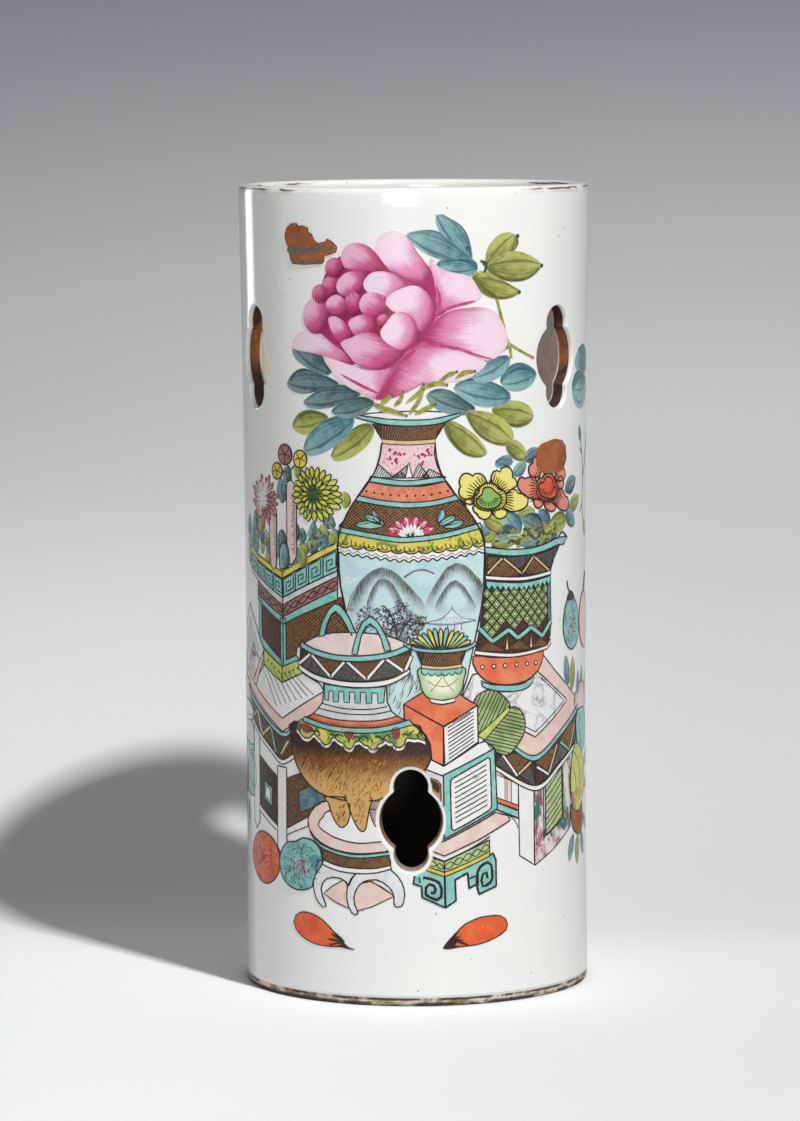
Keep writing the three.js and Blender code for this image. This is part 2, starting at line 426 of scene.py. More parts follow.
def tube_outline():
    """Radius and height pairs round the wall's section, from the foot's inner edge outwards."""
    outline = [(RADIUS_FOOT - FOOT_WIDTH, 0.25), (RADIUS_FOOT - FOOT_WIDTH + 0.3, 0.0)]
    bare = RADIUS_FOOT - GLAZE_STEP
    for step in range(5):
        angle = math.pi / 2 * step / 4
        outline.append((bare - FOOT_CHAMFER * (1 - math.sin(angle)), FOOT_CHAMFER * (1 - math.cos(angle))))
    outline.append((outside_radius(FOOT_BAND) - GLAZE_STEP, FOOT_BAND))
    for step in range(1, 5):
        angle = math.pi / 2 * step / 4
        edge = outside_radius(FOOT_BAND) - GLAZE_STEP * (1 - math.sin(angle))
        outline.append((edge, FOOT_BAND + GLAZE_STEP * (1 - math.cos(angle))))
    lip = LIP_WALL / 2
    lip_centre = HEIGHT - lip
    low = FOOT_BAND + 0.6
    for step in range(60):
        z = low + (lip_centre - low) * step / 60
        outline.append((outside_radius(z), z))
    middle = outside_radius(lip_centre) - lip
    for step in range(17):
        angle = math.pi * step / 16
        outline.append((middle + lip * math.cos(angle), lip_centre + lip * math.sin(angle)))
    for step in range(1, 55):
        z = lip_centre + (SEAT_TOP + 0.4 - lip_centre) * step / 54
        outline.append((outside_radius(z) - wall_thickness(z), z))
    outline.append((RADIUS_FOOT - WALL, SEAT_TOP))
    outline.append((RADIUS_FOOT - WALL, LEDGE_TOP))
    outline.append((RADIUS_FOOT - FOOT_WIDTH, LEDGE_TOP))
    return outline


def spin_tube():
    """Spins the section round the axis and closes the seam."""
    points = [(0, -radius * MM, z * MM) for radius, z in tube_outline()]
    tube = polyline("glazed_tube", points, closed=True)
    bpy.ops.object.mode_set(mode="EDIT")
    bpy.ops.mesh.select_all(action="SELECT")
    bpy.ops.mesh.spin(steps=SPIN_STEPS, angle=2 * math.pi, center=(0, 0, 0), axis=(0, 0, 1))
    bpy.ops.mesh.select_all(action="SELECT")
    bpy.ops.mesh.remove_doubles(threshold=0.01 * MM)
    bpy.ops.mesh.normals_make_consistent(inside=False)
    bpy.ops.object.mode_set(mode="OBJECT")
    return tube


tube = spin_tube()
print("tube faces:", len(tube.data.polygons))

# %% [markdown]
# The windows were cut through the leather-hard wall with a knife and their edges wiped round with a wet
# finger. Each cutter is a stack of the window's outline, wider where it meets either face of the wall.

# %% The six windows
WINDOW_BODY_RADIUS = 12.1
WINDOW_BODY_INSET = 0.8
WINDOW_LOBE_RADIUS = 6.2
WINDOW_LOBE_RISE = 11.9
WINDOW_NOTCH_RADIUS = 1.1
WINDOW_SILL_RISE = 1.2
WINDOW_EASE_OUT = 0.5
WINDOW_EASE_IN = 0.5
UPPER_ROW_HEIGHT = HEIGHT - 60.0
UPPER_ROW_TURN = 54.4
LOWER_ROW_HEIGHT = 65.1
LOWER_ROW_TURN = -2.0
ROWS = ((UPPER_ROW_TURN, UPPER_ROW_HEIGHT), (LOWER_ROW_TURN, LOWER_ROW_HEIGHT))
LOBE_STEPS = 14
NOTCH_STEPS = 6
BODY_STEPS = 13
EASE_STEPS = 7
CUTTER_OVERRUN = 4.0


def arc(centre, radius, start, end, steps):
    """Points on an arc about a centre, without the last."""
    angles = [start + (end - start) * step / steps for step in range(steps)]
    return [(centre[0] + radius * math.cos(a), centre[1] + radius * math.sin(a)) for a in angles]


def notch_centre():
    """The middle of the rounding between lobe and body, on the clay's side of both."""
    body = WINDOW_BODY_RADIUS + WINDOW_NOTCH_RADIUS
    lobe = WINDOW_LOBE_RADIUS + WINDOW_NOTCH_RADIUS
    apart = math.hypot(WINDOW_BODY_INSET, WINDOW_LOBE_RISE)
    along = (apart ** 2 + body ** 2 - lobe ** 2) / (2 * apart)
    aside = math.sqrt(body ** 2 - along ** 2)
    across, rise = WINDOW_BODY_INSET / apart, WINDOW_LOBE_RISE / apart
    return (-WINDOW_BODY_INSET + across * along + rise * aside, rise * along - across * aside)


def window_outline(grow):
    """One window's outline, grown by an amount: a round body between two small lobes."""
    notch = notch_centre()
    lobe_middle = (0, WINDOW_LOBE_RISE)
    body_middle = (-WINDOW_BODY_INSET, 0)
    from_lobe = math.atan2(notch[1] - lobe_middle[1], notch[0] - lobe_middle[0])
    from_body = math.atan2(notch[1] - body_middle[1], notch[0] - body_middle[0])
    upper = arc(lobe_middle, WINDOW_LOBE_RADIUS + grow, math.pi / 2, from_lobe, LOBE_STEPS)
    upper += arc(notch, WINDOW_NOTCH_RADIUS - grow, from_lobe + math.pi, from_body + math.pi, NOTCH_STEPS)
    upper += arc(body_middle, WINDOW_BODY_RADIUS + grow, from_body, 0, BODY_STEPS)
    widest = [(WINDOW_BODY_RADIUS + grow - WINDOW_BODY_INSET, 0)]
    right = upper + widest + [(u, -v) for u, v in reversed(upper)]
    left = [(-u, v) for u, v in reversed(right[1:-1])]
    return right + left


def cutter_stations(thickness):
    """Depth below the outer face and growth of the outline, from inside the bore outwards."""
    stations = [(thickness + CUTTER_OVERRUN, WINDOW_EASE_IN)]
    quarter = [math.pi / 2 * step / EASE_STEPS for step in range(EASE_STEPS + 1)]
    for angle in quarter:
        grow = WINDOW_EASE_IN * (1 - math.sin(angle))
        stations.append((thickness - WINDOW_EASE_IN * (1 - math.cos(angle)), grow))
    for angle in quarter:
        stations.append((WINDOW_EASE_OUT * (1 - math.sin(angle)), WINDOW_EASE_OUT * (1 - math.cos(angle))))
    stations.append((-CUTTER_OVERRUN, WINDOW_EASE_OUT))
    return stations


def window_cutter(turn, height):
    """Stacks the outline through the wall, wrapped radially, and bridges the stack."""
    face = outside_radius(height)
    thickness = wall_thickness(height)
    foot = WINDOW_LOBE_RISE + WINDOW_LOBE_RADIUS
    shape = bmesh.new()
    rings = []
    for depth, grow in cutter_stations(thickness):
        sill = WINDOW_SILL_RISE * min(max(depth / thickness, 0), 1)
        ring = []
        for u, v in window_outline(grow):
            azimuth = math.radians(turn) + u / face
            z = height + v + sill * max(-v, 0) / foot
            radius = outside_radius(z) - depth
            place = Vector((radius * math.sin(azimuth), -radius * math.cos(azimuth), z))
            ring.append(shape.verts.new(place * MM))
        rings.append(ring)
    for low, high in zip(rings, rings[1:]):
        for i in range(len(low)):
            j = (i + 1) % len(low)
            shape.faces.new((low[i], low[j], high[j], high[i]))
    shape.faces.new(rings[0])
    shape.faces.new(rings[-1])
    bmesh.ops.recalc_face_normals(shape, faces=shape.faces)
    mesh = bpy.data.meshes.new("window_cutter")
    shape.to_mesh(mesh)
    shape.free()
    cutter = bpy.data.objects.new("window_cutter", mesh)
    bpy.context.collection.objects.link(cutter)
    return cutter


def cut_windows(tube):
    """Takes each cutter out of the tube in turn."""
    for step in range(3):
        for turn, height in ROWS:
            cutter = window_cutter(turn + 120 * step, height)
            select_only(tube)
            cut = tube.modifiers.new("window", "BOOLEAN")
            cut.operation = "DIFFERENCE"
            cut.solver = "MANIFOLD"
            cut.object = cutter
            bpy.ops.object.modifier_apply(modifier="window")
            bpy.data.objects.remove(cutter)
    select_only(tube)
    bpy.ops.object.shade_smooth_by_angle(angle=math.radians(40))


cut_windows(tube)
print("tube faces with its windows:", len(tube.data.polygons))

# %% [markdown]
# The wall's finish is one material with four zones, told apart by how deep a point lies below the
# outer face: clear glaze outside, bare stained clay in the windows' cuts and on the foot, and a dusty
# thinner glaze inside, with painted shade that darkens it towards the floor. The cuts of the upper
# windows are darkened at both ends, the foot has a painted contact shadow along its bottom edge, and
# the glaze is worn brown in short runs along the lip.


# %% Glaze, bare clay and the dusty inside
def porcelain_finish():
    """The tube's finish, with its zones by depth and height."""
    wall = Finish("porcelain", roughness=0.1, specular=0.5)
    place = wall.place()
    x, y, z = wall.split(place)
    t = z / HEIGHT
    face = ((1 - t) * (1 - 2 * t) * RADIUS_FOOT + t * (1 - t) * (4 * RADIUS_WAIST)
            + t * (2 * t - 1) * RADIUS_RIM)
    depth = face - (x * x + y * y).sqrt()

    cloud = wall.noise(place, 0.03, 3)
    fine = wall.noise(place, 0.9, 2)
    specks = wall.cells(place, 0.16)
    pinholes = specks.ramp(0.075, 0.04) * wall.noise(place, 0.05, 1).ramp(0.5, 0.6)
    glaze = wall.mix(cloud.ramp(0.35, 0.65), srgb(241, 244, 241), srgb(246, 246, 242))
    glaze = wall.mix(pinholes * 0.55, glaze, srgb(96, 88, 76))

    stain = wall.noise(place, 0.11, 5, 0.62, 0.8)
    clay = wall.mix(stain.ramp(0.36, 0.58), srgb(50, 29, 18), srgb(152, 90, 40))
    clay = wall.mix(stain.ramp(0.58, 0.74), clay, srgb(206, 178, 148))
    clay = wall.mix(z.ramp(62.0, 52.0) * 0.8, clay, srgb(168, 146, 138))
    # The cuts of the upper windows are darkened near their lower and upper ends.
    darkened_cut_ends = z.ramp(226.0, 216.0) * z.ramp(150.0, 152.0)
    darkened_cut_ends = darkened_cut_ends.at_least(z.ramp(234.0, 239.0) * 0.7)
    clay = wall.mix(darkened_cut_ends * 0.88, clay, srgb(30, 20, 18))
    broken_edge = depth.ramp(0.7, 1.1) * depth.ramp(2.4, 1.7) * wall.noise(place, 0.2, 3).ramp(0.44, 0.56)
    clay = wall.mix(broken_edge * 0.8, clay, srgb(58, 40, 32))
    dust_and_painted_shade = wall.mix(stain.ramp(0.3, 0.7), srgb(214, 203, 190), srgb(236, 230, 221))
    # Painted shade: the inside is darkened almost to black towards the floor, where little light reaches it.
    painted_inner_shade = z.ramp(140.0, 82.0)
    dust_and_painted_shade = wall.mix(painted_inner_shade, dust_and_painted_shade, srgb(30, 24, 20))

    below_lip = z.ramp(HEIGHT - 3.5, HEIGHT - 6.0)
    cut_zone = z.ramp(250.0, 247.0)
    in_cut = depth.ramp(1.15, 1.75) * cut_zone
    inside = depth.ramp(WALL - 0.9, WALL - 0.35) * cut_zone + depth.ramp(2.4, 3.4) * (1 - cut_zone)
    inside = inside * below_lip
    foot = z.ramp(FOOT_BAND - 0.35, FOOT_BAND - 0.7)

    worn = wall.noise(place, 0.07, 3).ramp(0.42, 0.56) * x.abs().ramp(34.0, 46.0)
    lip_line = (z - (HEIGHT - 1.1 + (stain - 0.5) * 1.4)).abs().ramp(0.44, 0.12) * worn
    glaze = wall.mix((z - (HEIGHT - 1.8)).abs().ramp(1.2, 0.4) * worn * 0.35, glaze, srgb(198, 164, 134))
    glaze = wall.mix(lip_line * 0.95, glaze, srgb(60, 36, 22))

    along_foot = wall.noise(wall.vector(x, y, z * 0.3), 0.09, 4, 0.6)
    line_height = FOOT_BAND - 0.9 + (wall.noise(wall.vector(x, y, 0.0), 0.3, 2) - 0.5) * 1.0
    foot_line_and_contact_shadow = (z - line_height).abs().ramp(0.75, 0.3) * along_foot.ramp(0.4, 0.5)
    # Painted contact shadow: the bottom 1.5 mm of the foot is darkened where it meets the floor.
    foot_line_and_contact_shadow = foot_line_and_contact_shadow.at_least(z.ramp(1.5, 0.9) * along_foot.ramp(0.6, 0.5))
    bare_foot_and_contact_shadow = wall.mix(stain.ramp(0.38, 0.6), srgb(150, 126, 98), srgb(222, 210, 190))
    bare_foot_and_contact_shadow = wall.mix(wall.noise(wall.vector(x, y, z * 3.0), 0.35, 3).ramp(0.54, 0.6) * 0.7, bare_foot_and_contact_shadow,
                         srgb(104, 80, 58))
    bare_foot_and_contact_shadow = wall.mix(foot_line_and_contact_shadow * 0.9, bare_foot_and_contact_shadow, srgb(40, 31, 25))

    colour = wall.mix(in_cut, glaze, clay)
    colour = wall.mix(inside, colour, dust_and_painted_shade)
    colour = wall.mix(foot, colour, bare_foot_and_contact_shadow)
    wall.colour(colour)
    bare = in_cut.at_least(foot)
    rough = 0.1 + 0.04 * fine + 0.65 * bare + 0.25 * inside * (1 - foot)
    wall.roughness(rough.at_most(0.9))
    wall.relief(cloud * 0.6 + fine * (0.02 + 0.5 * bare) - pinholes * 0.2, 0.25, 0.4 * MM)
    return wall.material


def inner_finish(name, light, dark, roughness):
    """The floor disc's dulled glaze or the luting coil's bare slip, with settled dust."""
    inner = Finish(name, roughness=roughness)
    place = inner.place()
    _, _, z = inner.split(place)
    patches = inner.noise(place, 0.07, 5, 0.6)
    grit = inner.noise(place, 1.4, 2)
    colour = inner.mix(patches.ramp(0.3, 0.7), dark, light)
    colour = inner.mix(grit.ramp(0.62, 0.7) * 0.5, colour, srgb(60, 48, 36))
    # Above about 10 mm the colour is darkened almost to black.
    colour = inner.mix(z.ramp(9.5, 10.8) * 0.85, colour, srgb(44, 36, 30))
    inner.colour(colour)
    inner.roughness(0.3 * patches + roughness - 0.1)
    inner.relief(grit, 0.3, 0.2 * MM)
    return inner.material


tube.data.materials.clear()
tube.data.materials.append(porcelain_finish())
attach(tube, "root")
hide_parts("wall")
FINISHES = {
    "floor_disc": inner_finish("floor_glaze", srgb(226, 222, 210), srgb(196, 186, 168), 0.4),
    "luting_coil": inner_finish("slip", srgb(190, 172, 142), srgb(150, 128, 98), 0.8),
}
for node, finish in FINISHES.items():
    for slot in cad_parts[node].material_slots:
        slot.material = finish
print("finished:", tube.name, *FINISHES)

# %% [markdown]
# The enamels stand a tenth to half a millimetre proud of the glaze, with ink lines between them. They
# are drawn as a painter would set them out on paper, in millimetres: s runs along the wall from the
# middle of the front, z is the height. Each film of colour is a thin closed slab and each ink line a thin
# ribbon, wrapped round the wall at the end. There are hundreds of them on a curved wall, so they are
# made in mesh code, film over film in the painter's order, instead of by hand operators.

# %% Points on the unrolled wall
WRAP_RADIUS = 61.0
FIRST_LIFT = 0.05
LEVEL_STEP = 0.045
LINE_STEP = 0.026
SUNK = -0.02
PEN_WEIGHT = 1.14
hand = random.Random(7)


def at(text):
    """Reads pairs 's,z' in millimetres, parted by blanks."""
    return [tuple(float(v) for v in pair.split(",")) for pair in text.split()]


def between(a, b, share):
    return (a[0] + (b[0] - a[0]) * share, a[1] + (b[1] - a[1]) * share)


def run_length(points):
    return sum(math.dist(a, b) for a, b in zip(points, points[1:]))


def soften(points, closed, step):
    """A Catmull-Rom curve through the points, with a point about every step."""
    count = len(points)
    drawn = []
    for i in range(count if closed else count - 1):
        if closed:
            p = [points[(i + k) % count] for k in (-1, 0, 1, 2)]
        else:
            p = [points[min(max(i + k, 0), count - 1)] for k in (-1, 0, 1, 2)]
        pieces = max(1, round(math.dist(p[1], p[2]) / step))
        for j in range(pieces):
            t = j / pieces
            drawn.append(tuple(
                0.5 * (2 * b + (c - a) * t + (2 * a - 5 * b + 4 * c - d) * t * t
                       + (3 * b - a - 3 * c + d) * t * t * t)
                for a, b, c, d in zip(*p)))
    return drawn if closed else drawn + [points[-1]]


def divide(points, closed, step):
    """The same straight-sided run with points no farther apart than a step."""
    ends = zip(points, points[1:] + points[:1] if closed else points[1:])
    drawn = []
    for a, b in ends:
        pieces = max(1, math.ceil(math.dist(a, b) / step))
        drawn += [between(a, b, j / pieces) for j in range(pieces)]
    return drawn if closed else drawn + [points[-1]]


def anticlockwise(points):
    area = sum(a[0] * b[1] - b[0] * a[1] for a, b in zip(points, points[1:] + points[:1]))
    return points if area > 0 else points[::-1]


def wrap(s, z, lift):
    """A place on the unrolled wall, in metres on the real one."""
    radius = outside_radius(z) + lift
    angle = s / WRAP_RADIUS
    return (radius * math.sin(angle) * MM, -radius * math.cos(angle) * MM, z * MM)


print("a point at the front:", wrap(0, 100, 0))

# %% [markdown]
# Enamel stops short of a window, where the potter's cut leaves a rim of plain glaze. The windows' outlines
# are laid out on the unrolled wall from the cutters' own lengths, and each film and line is cut there.

# %% Clear of the windows
CLEAR = 1.2
WINDOW_BOX = (13.0, 20.0)
WINDOW_FARTHEST = 21
WINDOWS = [(WRAP_RADIUS * math.radians(turn + third), height)
           for turn, height in ROWS for third in (-240, -120, 0, 120)]


def far_side(direction, middle, radius):
    """How far out along a direction from the origin a circle ends, or nothing where it is missed."""
    along = direction.dot(middle)
    inside = along * along - middle.dot(middle) + radius * radius
    return along + math.sqrt(inside) if inside > 0 else 0.0


def window_reach(direction):
    """The edge of a window: an upper and a lower lobe, and a body of two arcs."""
    body = Vector((-WINDOW_BODY_INSET if direction.x > 0 else WINDOW_BODY_INSET, 0))
    reach = far_side(direction, body, WINDOW_BODY_RADIUS + CLEAR)
    for rise in (WINDOW_LOBE_RISE, -WINDOW_LOBE_RISE):
        reach = max(reach, far_side(direction, Vector((0, rise)), WINDOW_LOBE_RADIUS + CLEAR))
    return reach


def window_ring(window):
    turns = [Vector((math.cos(math.pi * k / 30), math.sin(math.pi * k / 30))) for k in range(60)]
    return [tuple(Vector(window) + turn * window_reach(turn)) for turn in turns]


def near(points, window):
    """Whether a run's box meets a window's box."""
    return all(min(p[i] for p in points) < window[i] + half and max(p[i] for p in points) > window[i] - half
               for i, half in enumerate(WINDOW_BOX))


def blocked(point):
    for window in WINDOWS:
        away = Vector(point) - Vector(window)
        if 0 < away.length < WINDOW_FARTHEST and away.length < window_reach(away.normalized()):
            return True
    return False


def clear_runs(points):
    """The parts of a run that lie clear of the windows."""
    if not any(near(points, window) for window in WINDOWS):
        return [points]
    runs = [[]]
    for point in divide(points, False, 0.6):
        if not blocked(point):
            runs[-1].append(point)
        elif runs[-1]:
            runs.append([])
    return [run for run in runs if len(run) > 1]


def cut_film(outline, inner=()):
    """The triangles of an outline's area that lie clear of the windows."""
    corners, rings = [], []
    for ring in [outline] + [window_ring(window) for window in WINDOWS if near(outline, window)]:
        rings.append(list(range(len(corners), len(corners) + len(ring))))
        corners += [Vector(p) for p in ring]
    corners += [Vector(p) for p in inner]
    places, _, made, _, _, owners = delaunay_2d_cdt(corners, [], rings, 1, 1e-5)
    places = [tuple(p) for p in places]
    faces = []
    for face, owner in zip(made, owners):
        a, b, c = (Vector(places[i]) for i in face[:3])
        if list(owner) == [0] and abs((b - a).cross(c - a)) > 1e-9:
            faces.append(list(face) if (b - a).cross(c - a) > 0 else list(face)[::-1])
    return places, faces


def share_out(point, centre, outline):
    """A point's share of the way from the centre to the outline."""
    away, share = Vector(point) - Vector(centre), 0.0
    for a, b in zip(outline, outline[1:] + outline[:1]):
        edge, start = Vector(b) - Vector(a), Vector(a) - Vector(centre)
        turn = away.cross(edge)
        if abs(turn) > 1e-9:
            out, along = start.cross(edge) / turn, start.cross(away) / turn
            if out > 0 and -1e-6 <= along <= 1 + 1e-6:
                share = max(share, 1 / out)
    return min(share, 1.0)


print("windows at", [(round(s, 1), z) for s, z in WINDOWS if abs(s) < 192])

# %% Films and ribbons
STRIP_WIDTH = 2.5
STRIP_HEIGHT = 20.0


def flat_film(outline):
    """Fills an outline and cuts it into narrow strips, so that it can bend round the wall."""
    sheet = bmesh.new()
    if any(near(outline, window) for window in WINDOWS):
        spots, triangles = cut_film(outline)
    else:
        spots = outline
        loop = [Vector((s, z, 0)) for s, z in outline]
        triangles = [t for t in tessellate_polygon([loop]) if len(set(t)) == 3]
    corners = [sheet.verts.new((s, z, 0)) for s, z in spots]
    for triangle in triangles:
        sheet.faces.new([corners[i] for i in triangle])
    for axis, gap in ((0, STRIP_WIDTH), (1, STRIP_HEIGHT)):
        low = min(point[axis] for point in outline)
        high = max(point[axis] for point in outline)
        direction = Vector((1, 0, 0)) if axis == 0 else Vector((0, 1, 0))
        for k in range(math.floor(low / gap) + 1, math.ceil(high / gap)):
            everything = sheet.verts[:] + sheet.edges[:] + sheet.faces[:]
            bmesh.ops.bisect_plane(sheet, geom=everything, plane_co=direction * gap * k, plane_no=direction)
    bmesh.ops.triangulate(sheet, faces=sheet.faces)
    sheet.normal_update()
    sheet.verts.index_update()
    places = [(v.co.x, v.co.y) for v in sheet.verts]
    faces = []
    for face in sheet.faces:
        ring = [v.index for v in face.verts]
        faces.append(ring if face.normal.z > 0 else ring[::-1])
    sheet.free()
    return places, faces, [0.5] * len(places)


def ringed_film(outline, centre):
    """Fills an outline with rings about a centre, and gives each point its share of the way out."""
    reach = max(math.dist(centre, point) for point in outline)
    rings = max(3, round(reach / 2.6))
    places, faces, shares = [centre], [], [0.0]
    count = len(outline)
    for ring in range(1, rings + 1):
        share = ring / rings
        places += [between(centre, point, share) for point in outline]
        shares += [share] * count
    if any(near(outline, window) for window in WINDOWS):
        places, faces = cut_film(outline, places[:-count])
        return places, faces, [share_out(place, centre, outline) for place in places]
    for i in range(count):
        j = (i + 1) % count
        faces.append([0, 1 + i, 1 + j])
        for ring in range(rings - 1):
            low = 1 + ring * count
            faces.append([low + i, low + count + i, low + count + j, low + j])
    return places, faces, shares


def ribbon(points, width, taper):
    """A flat band along a run of points: its places and faces. The width wavers as a brush does."""
    left, right = [], []
    last = len(points) - 1
    for i, point in enumerate(points):
        before, after = points[max(i - 1, 0)], points[min(i + 1, last)]
        along = Vector((after[0] - before[0], after[1] - before[1]))
        if along.length < 1e-9:
            along = Vector((1, 0))
        along.normalize()
        half = PEN_WEIGHT * width / 2 * hand.uniform(0.86, 1.14)
        if taper:
            half *= 0.25 + 0.75 * math.sin(math.pi * min(max(i / last, 0), 1)) ** 0.7
        left.append((point[0] - along.y * half, point[1] + along.x * half))
        right.append((point[0] + along.y * half, point[1] - along.x * half))
    places = left + right
    size = len(points)
    faces = [[i, size + i, size + i + 1, i + 1] for i in range(last)]
    return places, faces, [0.5] * len(places)


print("a square film has", len(flat_film(at("0,0 9,0 9,9 0,9"))[1]), "triangles")

# %% Putting a motif together
SHELF_GAP = 0.2
LINE_CELL, LINE_MARGIN = 0.012, 0.004


class Painting:
    """One motif: films and lines in several enamels, wrapped together as one piece."""

    def __init__(self, name, base=0.0):
        self.name = name
        self.base = base
        self.enamels = []
        self.places, self.faces, self.slots = [], [], []
        self.field, self.rim, self.cells = [], [], []

    def slab(self, enamel, film, lift, axis=None):
        """Adds a closed slab: the film on top, its copy in the wall below and a skirt between."""
        places, faces, shares = film
        if not faces:
            return
        if enamel not in self.enamels:
            self.enamels.append(enamel)
        slot = self.enamels.index(enamel)
        start, size = len(self.places), len(places)
        lift = FIRST_LIFT + self.base + lift
        (base, tip) = axis or (places[0], (places[0][0], places[0][1] + 10))
        run = Vector((tip[0] - base[0], tip[1] - base[1]))
        for height in (lift, SUNK):
            self.places += [wrap(s, z, height) for s, z in places]
            for (s, z), share in zip(places, shares):
                away = Vector((s - base[0], z - base[1]))
                self.field.append((away.dot(run) / run.length_squared, run.cross(away) / run.length_squared))
                self.rim.append((share, 0.0))
        edges = {}
        for face in faces:
            for a, b in zip(face, face[1:] + face[:1]):
                edges[(a, b)] = True
        made = [[start + i for i in face] for face in faces]
        made += [[start + size + i for i in face[::-1]] for face in faces]
        for a, b in edges:
            if (b, a) not in edges:
                made.append([start + size + a, start + size + b, start + b, start + a])
        self.faces += made
        self.slots += [slot] * len(made)
        self.cells.append((start, size, places, enamel))

    def fill(self, enamel, outline, level=0, curved=True, ink=0.4, axis=None, centre=None, pen="ink"):
        """A film of enamel with an ink line round it. A centre gives it rings, for soft shading."""
        step = min(max(run_length(outline) / 26, 0.5), 2.2)
        edge = soften(outline, True, step) if curved else list(outline)
        edge = anticlockwise(edge)
        film = ringed_film(edge, centre) if centre else flat_film(edge)
        self.slab(enamel, film, level * LEVEL_STEP, axis)
        if ink:
            closed = edge + edge[:2]
            if not curved:
                closed = divide(edge, True, 2.0)
                closed += closed[:1]
            self.stroke(pen, closed, ink, level)

    def band(self, enamel, top, bottom, level=0, ink=0.4, pen="ink"):
        """A film between two soft edges, given from left to right."""
        upper, lower = soften(top, False, 2.0), soften(bottom, False, 2.0)
        edge = anticlockwise(upper + lower[::-1])
        self.slab(enamel, flat_film(edge), level * LEVEL_STEP)
        if ink:
            closed = divide(edge, True, 2.2)
            self.stroke(pen, closed + closed[:1], ink, level)

    def line(self, points, width=0.4, level=0, curved=True, taper=False, pen="ink"):
        """A brush or pen line, just over the films of its level."""
        step = min(max(run_length(points) / 6, 0.35), 2.0)
        run = soften(points, False, step) if curved and len(points) > 2 else divide(points, False, step)
        self.stroke(pen, run, width, level, taper)

    def stroke(self, pen, points, width, level, taper=False):
        for run in clear_runs(points):
            self.slab(pen, ribbon(run, width, taper), level * LEVEL_STEP + LINE_STEP)

    def dot(self, place, radius, level=0, pen="ink", ink=0.0, tall=1.0):
        ring = [(place[0] + radius * math.cos(a * math.pi / 4),
                 place[1] + tall * radius * math.sin(a * math.pi / 4))
                for a in range(8)]
        if blocked(place):
            return
        if radius > 1.2:
            self.fill(pen, ring, level, True, ink)
        else:
            self.slab(pen, flat_film(ring), level * LEVEL_STEP + LINE_STEP)
            if ink:
                self.line(ring + ring[:1], ink, level)

    def hatch(self, outline, angle, gap, width=0.22, level=0, pen="ink", waver=0.12):
        """Straight strokes at an angle, each clipped to the outline."""
        lean = Vector((math.cos(math.radians(angle)), math.sin(math.radians(angle))))
        across = Vector((-lean.y, lean.x))
        rows = [Vector(p).dot(across) for p in outline]
        row = min(rows) + gap * 0.5
        while row < max(rows):
            hits = []
            for a, b in zip(outline, outline[1:] + outline[:1]):
                low, high = Vector(a).dot(across) - row, Vector(b).dot(across) - row
                if (low < 0) != (high < 0):
                    hits.append(Vector(between(a, b, low / (low - high))).dot(lean))
            hits.sort()
            for start, end in zip(hits[::2], hits[1::2]):
                if end - start > width * 2:
                    slip = hand.uniform(-waver, waver)
                    a = lean * (start + 0.1) + across * (row + slip)
                    b = lean * (end - 0.1) + across * (row - slip)
                    self.line([tuple(a), tuple(b)], width, level, False, False, pen)
            row += gap * hand.uniform(0.85, 1.15)

    def wrap_up(self):
        """Makes the mesh, its charts and its finishes."""
        mesh = bpy.data.meshes.new(self.name)
        mesh.from_pydata(self.places, [], self.faces)
        mesh.polygons.foreach_set("material_index", self.slots)
        corners = [0] * len(mesh.loops)
        mesh.loops.foreach_get("vertex_index", corners)
        for chart, values in (("Field", self.field), ("Rim", self.rim), ("OFBake", self.bake_places())):
            layer = mesh.uv_layers.new(name=chart)
            layer.data.foreach_set("uv", [part for corner in corners for part in values[corner]])
        piece = bpy.data.objects.new(self.name, mesh)
        bpy.context.collection.objects.link(piece)
        for enamel in self.enamels:
            mesh.materials.append(ENAMELS[enamel])
        mesh.validate()
        select_only(piece)
        bpy.ops.object.shade_smooth_by_angle(angle=math.radians(35))
        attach(piece, "root")
        print(piece.name, len(mesh.polygons), "faces")

    def bake_places(self):
        """Packs the films on shelves in a chart for baking, with all the lines in one small cell."""
        boxes = []
        for start, size, places, enamel in self.cells:
            low = [min(p[i] for p in places) for i in (0, 1)]
            span = [max(p[i] for p in places) - low[i] + 2 * SHELF_GAP for i in (0, 1)]
            boxes.append((span[1], span[0], start, size, places, low, enamel in LINE_PENS))
        films = sorted((b for b in boxes if not b[6]), reverse=True, key=lambda b: b[:2])
        side = math.sqrt(sum(b[0] * b[1] for b in films) + 1) * 1.06
        while True:
            placed, x, y, shelf = [], 0.0, side * 0.03, 0.0
            for tall, wide, *_ in films:
                if x + wide > side:
                    x, y, shelf = 0.0, y + shelf, 0.0
                shelf = max(shelf, tall)
                placed.append((x, y))
                x += wide
            if y + shelf <= side:
                break
            side *= 1.04
        chart = [(LINE_CELL, LINE_CELL)] * len(self.places)
        for (x, y), (tall, wide, start, size, places, low, _) in zip(placed, films):
            for copy in (0, size):
                for i, (s, z) in enumerate(places):
                    chart[start + copy + i] = ((x + SHELF_GAP + s - low[0]) / side,
                                               (y + SHELF_GAP + z - low[1]) / side)
        for tall, wide, start, size, places, low, is_line in boxes:
            if is_line:
                for i, (s, z) in enumerate(places * 2):
                    chart[start + i] = (LINE_MARGIN + LINE_CELL * (s - low[0]) / wide,
                                        LINE_MARGIN + LINE_CELL * (z - low[1]) / tall)
        return chart


# %% Patterns that several motifs share
def share_along(points, share):
    """The place at a share of the way along a run."""
    left = run_length(points) * min(max(share, 0.0), 1.0)
    for a, b in zip(points, points[1:]):
        piece = math.dist(a, b)
        if left <= piece and piece > 0:
            return between(a, b, left / piece)
        left -= piece
    return points[-1]


